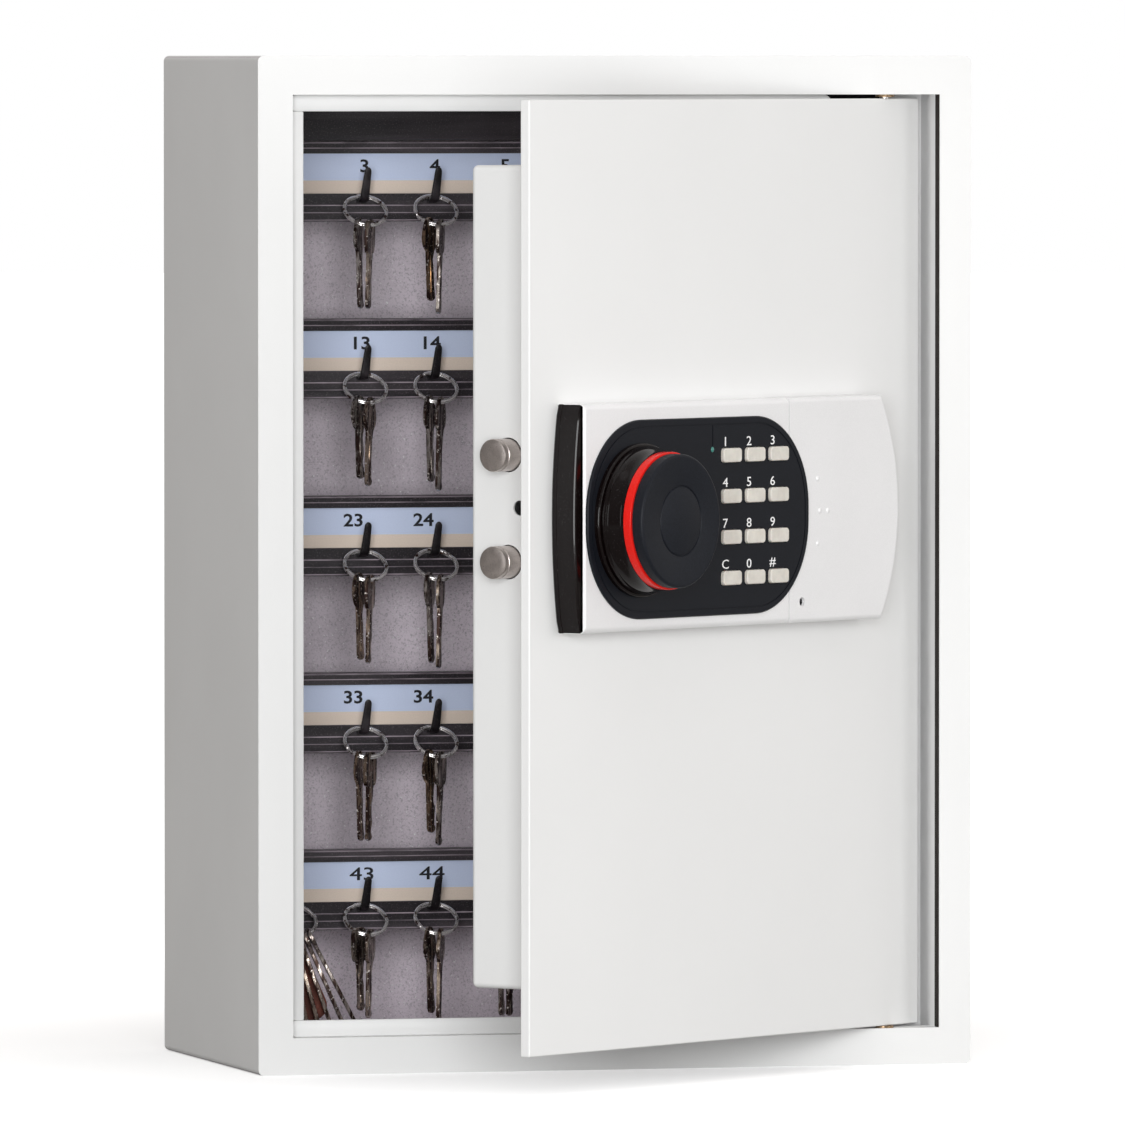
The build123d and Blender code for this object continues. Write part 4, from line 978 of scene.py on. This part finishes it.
def hook_shape(x, top, wide, thick):
    """A flat prong along three straight or bent stretches, leaning a little, with a rounded tip."""
    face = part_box("label_strips")[1][1]
    root = face - 4.0 * MM + HOOK_ROOT_BACK
    shelf = top - HOOK_SHELF_DROP
    corner = np.array((root - 9.0 * MM, shelf))
    tip = np.array((root - 13.5 * MM, top - HOOK_TIP_DROP))
    start = np.array((root, shelf))
    bend = 4.0 * MM
    along = unit(tip - corner)
    before = corner + unit(start - corner) * bend
    after = corner + along * bend
    t = np.linspace(0, 1, 9)[:, None]
    curve = (1 - t) ** 2 * before + 2 * t * (1 - t) * corner + t ** 2 * after
    tip_round = 2.4 * MM
    run = np.linspace(0, 1, 6)[1:, None] * (tip - along * tip_round - after) + after
    end = tip - along * tip_round * (1 - np.sin(np.linspace(0, math.pi / 2, 7)[1:, None]))
    line = np.concatenate((start[None], curve, run, end))
    path = np.stack((x + 0.07 * (line[:, 1] - shelf), line[:, 0], line[:, 1]), -1)
    width = 1.0 - 0.3 * np.clip((line[:, 1] - shelf) / (tip[1] - shelf), 0, 1)
    width[-6:] *= np.cos(np.linspace(0, math.pi / 2, 7)[1:]) * 0.97 + 0.03
    section = soft_box_section(wide, thick)[None] * np.stack((width, np.sqrt(width)), -1)[:, None]
    return swept(path, RIGHT, section)


class KEYCAB_OT_bars(bpy.types.Operator):
    """Enamels the bars and makes the hooks"""

    bl_idname = "keycab.bars"
    bl_label = "Bars and hooks"

    def execute(self, context):
        keys = settings(context, "keys")
        dress(finish("enamel"), "top_rail", *[f"key_bar_{i + 1}" for i in range(BAR_COUNT)])
        shapes = [hook_shape(x, top, keys.hook_wide, keys.hook_thick) for x, top in hook_places()]
        piece = make_piece("hook_prongs", shapes, "root", finish("hooks"), 50.0)
        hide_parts("key_hooks")
        return {"FINISHED"}


class KEYCAB_OT_labels(bpy.types.Operator):
    """Prints the number strips and their numbers"""

    bl_idname = "keycab.labels"
    bl_label = "Number strips"

    def execute(self, context):
        keys = settings(context, "keys")
        dress(finish("labels"), "label_strips")
        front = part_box("label_strips")[0][1]
        row_shift = np.array((3.0, 1.5, -3.5, -3.5, 1.2)) * MM
        row_weight = np.array((1.0, 1.1, 1.1, 1.1, 0.45))
        row_wide = np.array((1.2, 1.22, 1.2, 1.2, 1.45))
        shapes = []
        for index, (x, top) in enumerate(hook_places()):
            row = index // HOOKS_PER_BAR
            weight = keys.numeral_weight * row_weight[row]
            digits = lettering(str(index + 1), keys.numeral_high, weight, INK_THICK)
            digits = (digits[0] * (row_wide[row], 1, 1), digits[1])
            shapes.append(moved(digits, (x + row_shift[row], front - INK_PROUD, top - NUMBER_DROP)))
        make_piece("strip_numbers", shapes, "root", finish("ink"))
        return {"FINISHED"}


# ---- rings and keys ----
def ring_frame(x, top, radius):
    """Centre of a ring, and the two directions that span it: across, and down towards its lowest point."""
    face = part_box("label_strips")[1][1]
    lean = radius * math.sin(RING_TILT)
    drop = radius * math.cos(RING_TILT)
    centre = np.array((x, face - 6.0 * MM - lean, top - RING_REST_DROP - drop))
    down = np.array((0.0, -math.sin(RING_TILT), -math.cos(RING_TILT)))
    return centre, down


def split_ring(x, top, radius, wire):
    """Two flattened coils: centre + r (cos a * across + sin a * down), stepping over after a full turn."""
    centre, down = ring_frame(x, top, radius)
    axis = np.cross(RIGHT, down)
    start = x * 900.0 + top * 500.0
    angle = np.linspace(0, 4 * math.pi, 81)[:, None]
    step = np.clip((angle - 2 * math.pi) / 0.5, -1, 1)
    coil = wire * 0.52
    turn = angle + start
    path = centre + radius * (np.cos(turn) * RIGHT + np.sin(turn) * down) + axis * coil / 2 * step
    return swept(path, axis, soft_box_section(coil * 0.96, wire * 0.85, 0.8, 8))


def ring_place(x, top, radius, angle):
    """A point on the ring's wire, at an angle in degrees from its lowest point towards +x."""
    centre, down = ring_frame(x, top, radius)
    a = math.radians(angle)
    return centre + radius * (math.sin(a) * RIGHT + math.cos(a) * down)


def arc_points(centre, radius_x, radius_z, start, stop, count):
    """Points centre + (rx cos a, rz sin a) from one angle to another, in degrees."""
    angle = np.radians(np.linspace(start, stop, count))
    return np.stack((centre[0] + radius_x * np.cos(angle), centre[1] + radius_z * np.sin(angle)), -1)


def bow_outline(kind, wide, high, neck):
    """The head of a key, open at the bottom where the blade joins: oval, flat-topped or three-lobed."""
    drop = -(high / 2 - 3.0)
    angle = np.radians(np.linspace(-68, 248, 33))
    if kind == 0:
        swell = np.ones_like(angle)
    elif kind == 1:
        swell = (np.abs(np.cos(angle)) ** 3.2 + np.abs(np.sin(angle)) ** 3.2) ** (-1 / 3.2)
    else:
        swell = 0.93 + 0.075 * np.cos(3 * (angle - math.pi / 2))
    x = wide / 2 * swell * np.cos(angle)
    z = drop + high / 2 * swell * np.sin(angle)
    keep = (np.abs(x) > neck / 2 + 0.3) | (z > drop)
    return np.stack((x, z), -1)[keep]


def cut_edge(half, top, tip, depths):
    """The notched side of a blade: a flat at each cut's depth with slopes between them."""
    pitch = (top - tip - 6.0) / len(depths)
    rows = []
    for i, depth in enumerate(depths):
        z = top - 3.0 - pitch * (i + 0.5)
        rows += [(half - depth, z + pitch * 0.18), (half - depth, z - pitch * 0.18)]
    return rows


def key_shape(kind, wide, high, blade, long, thick, depths, both_sides):
    """A flat key hanging from the origin: head with a hole, shoulder, notched blade and a milled groove."""
    drop = high / 2 - 3.0
    shoulder = -drop - high / 2 + 1.2
    tip = 3.0 - long
    half = blade / 2
    head = bow_outline(kind, wide, high, blade + 2.0)
    right = cut_edge(half, shoulder, tip, depths)
    left = [(-x, z) for x, z in cut_edge(half, shoulder, tip, depths if both_sides else [0.0] * 2)]
    point = [(-half, tip + 2.6), (-half * 0.75, tip + 0.9), (0.0, tip), (half * 0.75, tip + 0.9),
             (half, tip + 2.6)]
    blade_line = [(-half, shoulder)] + left + point + right[::-1] + [(half, shoulder)]
    outline = np.array(list(map(tuple, head)) + blade_line)
    hole = arc_points((0.0, 0.0), 2.5, 2.5, 0, 330, 12)
    groove_x = -half * 0.42
    slot = rounded_outline((groove_x - 0.75, tip + 4.5), (groove_x + 0.75, shoulder - 1.0), 0.7, 2)
    face = flat_blank([outline, hole, slot], thick, 0.18)
    floor = rounded_outline((groove_x - 0.9, tip + 4.3), (groove_x + 0.9, shoulder - 0.8), 0.7, 2)
    return joined([face, flat_blank([floor], thick * 0.55, 0.05)])


def key_turn(lean, turn):
    """First a turn about the vertical, then a lean about y, both in degrees."""
    return turn_matrix((0, 1, 0), math.radians(lean)) @ turn_matrix(UP, math.radians(turn))


def cut_depths(random, count, deepest):
    """Random depths in millimetres for a blade's notches."""
    return [round(float(value), 2) for value in random.uniform(0.3, deepest, count)]


class KEYCAB_OT_rings(bpy.types.Operator):
    """Makes the split rings"""

    bl_idname = "keycab.rings"
    bl_label = "Split rings"

    def execute(self, context):
        keys = settings(context, "keys")
        shapes = [split_ring(x, top, keys.ring_radius, keys.ring_wire) for _, (x, top) in loaded_hooks()]
        piece = make_piece("split_rings", shapes, "root", finish("rings"), 60.0)
        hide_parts("key_rings")
        return {"FINISHED"}


class KEYCAB_OT_keys(bpy.types.Operator):
    """Cuts the pairs of keys on every ring"""

    bl_idname = "keycab.keys"
    bl_label = "Keys"

    def execute(self, context):
        keys = settings(context, "keys")
        random = np.random.default_rng(SEED)
        bunch = (BAR_COUNT - 1) * HOOKS_PER_BAR + 1
        for row in range(BAR_COUNT):
            shapes, tones = [], []
            for index, place in loaded_hooks():
                if index // HOOKS_PER_BAR != row or index == bunch:
                    continue
                long = (46.0 + 2.0 * (index % 3), 49.0 + 3.0 * (index % 2))
                turn = (50.0 + 5.0 * (index % 3), 56.0 + 3.0 * (index % 4))
                for i, side in enumerate((-1, 1)):
                    kind = int(random.integers(3))
                    depths = cut_depths(random, KEY_CUTS, KEY_DEEPEST_CUT)
                    shape = key_shape(kind, *KEY_HEAD, KEY_BLADE, long[i], keys.key_thick / MM, depths,
                                      kind == 1)
                    hang = ring_place(*place, keys.ring_radius, KEY_HANG_MIDDLE + side * KEY_SIDE_ANGLE)
                    shapes.append(moved(shape, hang, key_turn(side * 1.5, turn[i])))
                    tones.append(float(random.uniform(0.0, 1.0)))
            piece = make_piece(f"cut_keys_{row + 1}", shapes, "root", finish("keys"),
                               tones=tones)
            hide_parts(f"keys_row_{row + 1}")
        return {"FINISHED"}


class KEYCAB_OT_long_keys(bpy.types.Operator):
    """Makes the bunch of long keys and its leather tag"""

    bl_idname = "keycab.long_keys"
    bl_label = "Long keys and tag"

    def execute(self, context):
        keys = settings(context, "keys")
        random = np.random.default_rng(SEED + 1)
        x, top = hook_places()[(BAR_COUNT - 1) * HOOKS_PER_BAR + 1]
        shapes, tones = [], []
        for i in range(BUNCH_COUNT):
            depths = cut_depths(random, LONG_KEY_CUTS, LONG_KEY_DEEPEST_CUT)
            shape = key_shape(0, *LONG_KEY_HEAD, LONG_KEY_BLADE, LONG_KEY_LONG, keys.key_thick / MM, depths,
                              True)
            turn = key_turn(BUNCH_SWING + BUNCH_FAN * i, BUNCH_TURN)
            hang = ring_place(x, top, keys.ring_radius, BUNCH_SPREAD * (i - BUNCH_COUNT // 2))
            shapes.append(moved(shape, hang, turn))
            tones.append(0.35 + 0.12 * i)
        piece = make_piece("long_keys", shapes, "root", finish("keys"), tones=tones)
        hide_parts("key_bunch")
        strap = tag_shape(x, top, keys.ring_radius)
        tag = make_piece("leather_tag", [strap], "root", finish("leather"))
        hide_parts("leather_fob")
        return {"FINISHED"}


def tag_shape(x, top, radius):
    """A round-ended strap of leather with an eyelet hole, rounded over its edges."""
    outline = rounded_outline((-8.7, -59.7), (8.7, 5.7), 8.2, 8)
    hole = arc_points((0.0, 0.0), 3.0, 3.0, 0, 345, 24)
    shape = flat_blank([outline, hole], 2.3, 0.55)
    return moved(shape, ring_place(x, top, radius, -90.0), turn_matrix((0, 1, 0), math.radians(-24.0)))


# ---- door ----
class KEYCAB_OT_door(bpy.types.Operator):
    """Paints the door and its tray and finishes the fixings"""

    bl_idname = "keycab.door"
    bl_label = "Door"

    def execute(self, context):
        dress(finish("door"), "door_plate")
        # the pan's coat carries painted shade: a darker copy of the door's powder coat
        dress(finish("shaded_tray"), "door_pan")
        dress(finish("steel"), "hinge_pins", "door_fixings", "spindle_crank", "bolt_carriage",
              "solenoid_plunger")
        dress(finish("guide"), "bolt_guides")
        dress(finish("brass"), "spindle_bush")
        dress(finish("solenoid"), "solenoid_body")
        return {"FINISHED"}


def bolt_profile(radius, long):
    """(radius, height) of a bolt from its buried root to its tip: shank, bright groove and chamfered end."""
    lip = 2.6 * MM
    chamfer = 0.7 * MM
    groove = radius - 0.35 * MM
    return ((0.0, 0.0), (radius, 0.0), (radius, long - lip - 1.2 * MM), (groove, long - lip - 0.9 * MM),
            (groove, long - lip - 0.3 * MM), (radius, long - lip), (radius, long - chamfer),
            (radius - 0.3 * chamfer, long - 0.3 * chamfer), (radius - chamfer, long), (radius * 0.5, long),
            (0.0, long))


def bolt_shapes():
    """Both locking bolts, turned along the door's width."""
    points = shut(node_points("locking_bolts"))
    low, high = points.min(0), points.max(0)
    radius = (high[1] - low[1]) / 2
    shapes = []
    for z in (low[2] + radius, high[2] - radius):
        profile = bolt_profile(radius, high[0] - low[0])
        centre = np.array((high[0], (low[1] + high[1]) / 2, z))
        shapes.append(opened(turned(profile, centre, -RIGHT, 64)))
    return shapes


def spring_shape():
    """A round-wire helix: centre + r (cos a, sin a) rising evenly, with closed end coils."""
    low, high = closed_box("plunger_spring")
    wire = 0.42 * MM
    radius = (high[0] - low[0]) / 2 - wire
    centre = (low + high) / 2
    t = np.linspace(0, 1, 241)[:, None]
    angle = t * 2 * math.pi * 8
    rise = low[2] + wire + (high[2] - low[2] - 2 * wire) * (t - 0.06 * np.sin(2 * math.pi * t))
    path = np.concatenate((centre[0] + radius * np.cos(angle), centre[1] + radius * np.sin(angle), rise), 1)
    return opened(swept(path, UP, soft_box_section(2 * wire, 2 * wire, 1.0, 8)))


class KEYCAB_OT_bolts(bpy.types.Operator):
    """Turns the locking bolts and winds the plunger's spring"""

    bl_idname = "keycab.bolts"
    bl_label = "Locking bolts"

    def execute(self, context):
        piece = make_piece("turned_bolts", bolt_shapes(), "bolts", finish("bolt"))
        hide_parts("locking_bolts")
        spring = make_piece("wound_spring", [spring_shape()], "plunger", finish("bright"), 60.0)
        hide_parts("plunger_spring")
        return {"FINISHED"}


# ---- lock ----
def end_cap_shape():
    """A bowed end piece: straight inside, a parabola outside, cut corners and a rounded front edge."""
    low, high = closed_box("end_cap")
    cut = 6.0 * MM
    bow = 4.2 * MM
    mid = (low[2] + high[2]) / 2
    half = (high[2] - low[2]) / 2
    t = np.linspace(-1, 1, 25)
    x = low[0] + bow * t ** 2
    z = mid + (half - cut) * -t
    arc = np.stack((x, z), -1)
    cut_x = low[0] + bow + 2.0 * MM
    corners = [(cut_x, low[2]), (high[0], low[2]), (high[0], high[2]), (cut_x, high[2])]
    outline = np.concatenate((arc, corners))
    tall = high[1] - low[1]
    section = ((0.5 * MM, 0.0), (0.0, 0.8 * MM), (0.0, 3.0 * MM), (0.2 * MM, 3.4 * MM),
               (0.2 * MM, tall - 1.2 * MM), (0.7 * MM, tall - 0.4 * MM), (1.3 * MM, tall))
    return opened(moved(raised(outline, section), (0.0, high[1], 0.0)))


def dome_points(radius, base, rise):
    """Points of a dome's flank, from its foot to its crown: (r cos a, base + rise sin a)."""
    angle = np.linspace(0, math.pi / 2, 7)
    return [(radius * math.cos(a), base + rise * math.sin(a)) for a in angle]


def dome_shape(s, n, z, radius, tall):
    """A shallow dome on the cover: radius * cos a, tall * sin a, with a short buried foot."""
    foot = -0.3 * MM
    profile = [(0.0, foot), (radius, foot)] + dome_points(radius, 0.0, tall)
    return opened(turned(profile, np.array((-s, n, z)), OUTWARD, 24))


class KEYCAB_OT_lock_case(bpy.types.Operator):
    """Lacquers the housing and cover, and makes the end cap and grip dots"""

    bl_idname = "keycab.lock_case"
    bl_label = "Lock housing"

    def execute(self, context):
        lock = settings(context, "lock")
        dress(finish("silver"), "lock_housing", "battery_cover")
        cap = make_piece("bowed_end_cap", [end_cap_shape()], "door", finish("gloss"), 25.0)
        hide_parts("end_cap")
        face = closed_box("battery_cover")[0][1]
        dots = [dome_shape(s * MM, face, z * MM, lock.grip_dot, GRIP_DOT_TALL) for s, z in GRIP_DOT_SPOTS]
        make_piece("grip_dots", dots, "cover", finish("silver"), 60.0)
        dress(finish("guide"), "battery_tray")
        dress(finish("cells"), "batteries")
        dress(finish("contact"), "battery_contacts")
        return {"FINISHED"}


def legend_shapes(lock):
    """A digit above and left of each button, standing just proud of the panel."""
    face = closed_box("keypad_panel")[0][1]
    shapes = []
    for name, text in zip(KEYPAD, LEGENDS):
        low, high = closed_box("button_" + name)
        x = (low[0] + high[0]) / 2 - lock.legend_shift
        z = (low[2] + high[2]) / 2 + lock.legend_lift
        digit = lettering(text, lock.legend_high, 0.0, LEGEND_THICK)
        digit = (digit[0] * (LEGEND_WIDE, 1, 1), digit[1])
        shapes.append(opened(moved(digit, (x, face - LEGEND_PROUD, z))))
    return shapes


class KEYCAB_OT_keypad(bpy.types.Operator):
    """Finishes the panel and buttons and prints the legends"""

    bl_idname = "keycab.keypad"
    bl_label = "Keypad"

    def execute(self, context):
        lock = settings(context, "lock")
        dress(finish("panel"), "keypad_panel")
        dress(finish("ivory"), *["button_" + name for name in KEYPAD])
        dress(finish("board"), "circuit_board")
        dress(finish("mat"), "keypad_mat")
        make_piece("keypad_legends", legend_shapes(lock), "door", finish("legend"))
        low, high = closed_box("status_led")
        radius = (high[0] - low[0]) / 2
        rise = 0.5 * MM
        base = high[1] - low[1] - rise
        profile = [(0.0, 0.0), (radius, 0.0)] + dome_points(radius, base, rise)
        centre = np.array(((low[0] + high[0]) / 2, high[1], (low[2] + high[2]) / 2))
        lens = make_piece("lamp_dome", [opened(turned(profile, centre, OUTWARD, 24))], "door",
                          finish("lens"), 60.0)
        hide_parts("status_led")
        return {"FINISHED"}


# ---- knob ----
def knob_axis_point(node):
    """Centre of a knob piece on its foot, and its radius and height, on the closed door."""
    low, high = closed_box(node)
    centre = np.array(((low[0] + high[0]) / 2, high[1], (low[2] + high[2]) / 2))
    return centre, (high[2] - low[2]) / 2, high[1] - low[1]


def rounded_rim(radius, height, round_r, steps=6):
    """Points of a quarter-round edge from the flank to the face."""
    angle = np.linspace(0, math.pi / 2, steps)
    return [(radius - round_r + round_r * math.cos(a), height - round_r + round_r * math.sin(a))
            for a in angle]


def skirt_profile(radius, tall, top_radius):
    """The knob's flank: a rounded foot bead, a waist that narrows in a soft S, and a plain bore inside."""
    t = np.linspace(0, 1, 15)
    ease = t * t * (3 - 2 * t)
    bead_top = 2.4 * MM
    waist = radius - 0.4 * MM
    flank = [(waist - (waist - top_radius) * e, bead_top + (tall - bead_top) * h) for e, h in zip(ease, t)]
    bore = 13.5 * MM
    inner = radius - 5 * MM
    foot = [(inner, 0.0), (radius - 0.6 * MM, 0.0), (radius, 0.6 * MM), (radius, 1.7 * MM)]
    inside = [(bore, tall), (bore, tall - 3 * MM), (inner, tall - 3 * MM), (inner, 0.0)]
    return foot + flank + inside


class KEYCAB_OT_knob(bpy.types.Operator):
    """Turns the knob: collar, skirt, coloured ring and cap"""

    bl_idname = "keycab.knob"
    bl_label = "Turning knob"

    def execute(self, context):
        centre, radius, tall = knob_axis_point("knob_collar")
        bore = 13.0 * MM
        rim = rounded_rim(radius, tall, 1.2 * MM)
        profile = [(bore, 0.0), (radius, 0.0)] + rim + [(bore, tall), (bore, 0.0)]
        shape = opened(turned(profile, centre, OUTWARD))
        collar = make_piece("turned_collar", [shape], "door", finish("gloss"))
        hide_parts("knob_collar")

        centre, radius, tall = knob_axis_point("knob_body")
        ring_centre, ring_radius, ring_tall = knob_axis_point("knob_ring")
        tall = centre[1] - ring_centre[1]
        hole, stem, flange = 5.2 * MM, 10.0 * MM, 13.6 * MM
        under, over = tall - 2 * MM, tall - 0.5 * MM
        boss = [(hole, 0.0), (stem, 0.0), (stem, under), (flange, under), (flange, over), (hole, over),
                (hole, 0.0)]
        shapes = [opened(turned(skirt_profile(radius, tall, ring_radius), centre, OUTWARD)),
                  opened(turned(boss, centre, OUTWARD, 48))]
        body = make_piece("turned_skirt", shapes, "knob", finish("gloss"))
        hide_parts("knob_body")

        bore = 20.0 * MM
        profile = [(bore, 0.0), (ring_radius - 0.4 * MM, 0.0), (ring_radius, 0.4 * MM)]
        profile += rounded_rim(ring_radius, ring_tall, 0.5 * MM) + [(bore, ring_tall), (bore, 0.0)]
        ring = make_piece("accent_ring", [opened(turned(profile, ring_centre, OUTWARD))], "knob",
                          finish("accent"))
        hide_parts("knob_ring")

        centre, radius, tall = knob_axis_point("knob_cap")
        foot = ring_tall
        spigot = 19.7 * MM
        groove = 19.0 * MM
        face, edge, floor = tall - 0.25 * MM, tall - 0.5 * MM, tall - 0.95 * MM
        profile = [(0.0, 0.0), (spigot, 0.0), (spigot, foot), (radius - 0.5 * MM, foot)]
        profile += [(radius, foot + 0.5 * MM)] + rounded_rim(radius, tall, 1.6 * MM, 8)
        profile += [(radius - 3.0 * MM, face), (groove + 0.6 * MM, face), (groove, edge)]
        profile += [(groove - 0.25 * MM, floor), (groove - 0.75 * MM, floor), (groove - 1.0 * MM, edge)]
        profile += [(groove - 1.6 * MM, face), (0.0, tall - 0.1 * MM)]
        shape = opened(turned(profile, centre, OUTWARD))
        cap = make_piece("turned_cap", [shape], "knob", finish("cap"))
        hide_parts("knob_cap")
        return {"FINISHED"}


# ---- studio ----
def area_light(name, power, tint, size, place, target):
    """A soft box at a place, shining at a target."""
    light = bpy.data.lights.new(name, "AREA")
    light.shape = "RECTANGLE"
    light.size, light.size_y = size
    light.energy = power
    light.color = tint
    holder = bpy.data.objects.new(name, light)
    holder.location = place
    holder.rotation_euler = (Vector(place) - Vector(target)).to_track_quat("Z", "Y").to_euler()
    bpy.context.scene.collection.objects.link(holder)


def studio_world(fill, warmth):
    """White behind the object; for everything else an even fill, a little weaker from the left and below."""
    world = bpy.data.worlds.new("studio")
    world.use_nodes = True
    tree = world.node_tree
    background = tree.nodes["Background"]
    coordinate = tree.nodes.new("ShaderNodeTexCoord")
    split = tree.nodes.new("ShaderNodeSeparateXYZ")
    tree.links.new(coordinate.outputs["Generated"], split.inputs[0])
    across = tree.nodes.new("ShaderNodeMath")
    across.operation = "MULTIPLY_ADD"
    across.inputs[1].default_value = FILL_FROM_RIGHT
    across.inputs[2].default_value = fill
    tree.links.new(split.outputs[0], across.inputs[0])
    rise = tree.nodes.new("ShaderNodeMath")
    rise.operation = "MULTIPLY_ADD"
    rise.inputs[1].default_value = FILL_FROM_ABOVE
    tree.links.new(split.outputs[2], rise.inputs[0])
    tree.links.new(across.outputs[0], rise.inputs[2])
    path = tree.nodes.new("ShaderNodeLightPath")
    choose = tree.nodes.new("ShaderNodeMix")
    tree.links.new(path.outputs["Is Camera Ray"], choose.inputs[0])
    tree.links.new(rise.outputs[0], choose.inputs[2])
    choose.inputs[3].default_value = 1.0
    tree.links.new(choose.outputs[0], background.inputs["Strength"])
    tint = tree.nodes.new("ShaderNodeMix")
    tint.data_type = "RGBA"
    tree.links.new(path.outputs["Is Camera Ray"], tint.inputs[0])
    tint.inputs[6].default_value = (*warmth, 1.0)
    tint.inputs[7].default_value = (1.0, 1.0, 1.0, 1.0)
    tree.links.new(tint.outputs[2], background.inputs["Color"])
    bpy.context.scene.world = world


def floor_paint():
    """Pale seamless floor: it takes a soft contact shadow near the object and glows white further out."""
    f = Finish("studio_floor", Roughness=0.9, Specular_IOR_Level=0.1)
    path = f.node("ShaderNodeLightPath", None, None, "Is Camera Ray")
    near = f.node("ShaderNodeVectorMath", {"operation": "LENGTH"}, {0: f.place()}, "Value")
    soft = f.noise(f.place(), 0.5, 2.0)
    pale = f.mix(soft, (0.78, 0.78, 0.78), (0.8, 0.8, 0.8))
    far = f.ramp(near, (0.25, 0.35), (0.9, 1.0))
    f.feed(f.shader.inputs["Emission Color"], f.mix(path, (0.0, 0.0, 0.0), far))
    f.feed(f.shader.inputs["Emission Strength"], 1.0)
    return f.done(f.mix(path, (0.42, 0.415, 0.405), pale))


class KEYCAB_OT_studio(bpy.types.Operator):
    """Sets the floor, the soft lights and the camera"""

    bl_idname = "keycab.studio"
    bl_label = "Studio"

    def execute(self, context):
        studio = settings(context, "studio")
        low, high = CAD_BOX
        middle = (low + high) / 2
        angle = np.linspace(0, 2 * math.pi, 96, endpoint=False)
        rim = np.stack((np.cos(angle), np.sin(angle), 0 * angle), -1) * studio.floor_radius + (0, 0, low[2])
        mesh = bpy.data.meshes.new("studio_floor")
        mesh.from_pydata(rim.tolist(), [], [list(range(len(angle)))])
        mesh.materials.append(floor_paint())
        floor = bpy.data.objects.new("studio_floor", mesh)
        context.scene.collection.objects.link(floor)
        studio_world(studio.fill, studio.warmth)
        for name, size, place in SOFT_BOXES:
            strength = getattr(studio, name + "_power")
            area_light(name + "_box", strength, studio.key_colour, size, place, tuple(middle))
        back = np.array((-math.sin(studio.azimuth) * math.cos(studio.elevation),
                         -math.cos(studio.azimuth) * math.cos(studio.elevation), math.sin(studio.elevation)))
        aim = np.array(CAMERA_AIM) * MM
        camera = bpy.data.objects.new("camera", bpy.data.cameras.new("camera"))
        camera.data.sensor_width = 36.0
        camera.data.lens = studio.lens
        camera.location = aim + back * studio.distance
        camera.rotation_euler = Vector(back).to_track_quat("Z", "Y").to_euler()
        context.scene.collection.objects.link(camera)
        context.scene.camera = camera
        context.scene.view_settings.view_transform = "Standard"
        return {"FINISHED"}


# ---- add-on ----
STEPS = (KEYCAB_OT_body, KEYCAB_OT_bars, KEYCAB_OT_labels, KEYCAB_OT_rings, KEYCAB_OT_keys,
         KEYCAB_OT_long_keys, KEYCAB_OT_door, KEYCAB_OT_bolts, KEYCAB_OT_lock_case, KEYCAB_OT_keypad,
         KEYCAB_OT_knob, KEYCAB_OT_studio)
GROUPS = {"paint": PaintSettings, "metal": MetalSettings, "keys": KeySettings, "lock": LockSettings,
          "studio": StudioSettings}


class KEYCAB_PT_sidebar(bpy.types.Panel):
    """Lists the settings and the steps that build the cabinet"""

    bl_idname = "KEYCAB_PT_sidebar"
    bl_label = "Key cabinet"
    bl_space_type = "VIEW_3D"
    bl_region_type = "UI"
    bl_category = "Key cabinet"

    def draw(self, context):
        for name, group in GROUPS.items():
            box = self.layout.box()
            box.label(text=group.__doc__)
            for item in group.__annotations__:
                box.prop(settings(context, name), item)
        for step in STEPS:
            self.layout.operator(step.bl_idname)


def register():
    """Adds the classes and the scene's settings."""
    for item in (*GROUPS.values(), *STEPS, KEYCAB_PT_sidebar):
        bpy.utils.register_class(item)
    for name, group in GROUPS.items():
        setattr(bpy.types.Scene, "key_cabinet_" + name, bpy.props.PointerProperty(type=group))


def unregister():
    """Takes the settings and the classes away again."""
    for name in GROUPS:
        delattr(bpy.types.Scene, "key_cabinet_" + name)
    for item in reversed((*GROUPS.values(), *STEPS, KEYCAB_PT_sidebar)):
        bpy.utils.unregister_class(item)


def main():
    """Registers the add-on and runs its steps in order."""
    register()
    for step in STEPS:
        family, name = step.bl_idname.split(".")
        getattr(getattr(bpy.ops, family), name)()


if __name__ == "__main__":
    main()
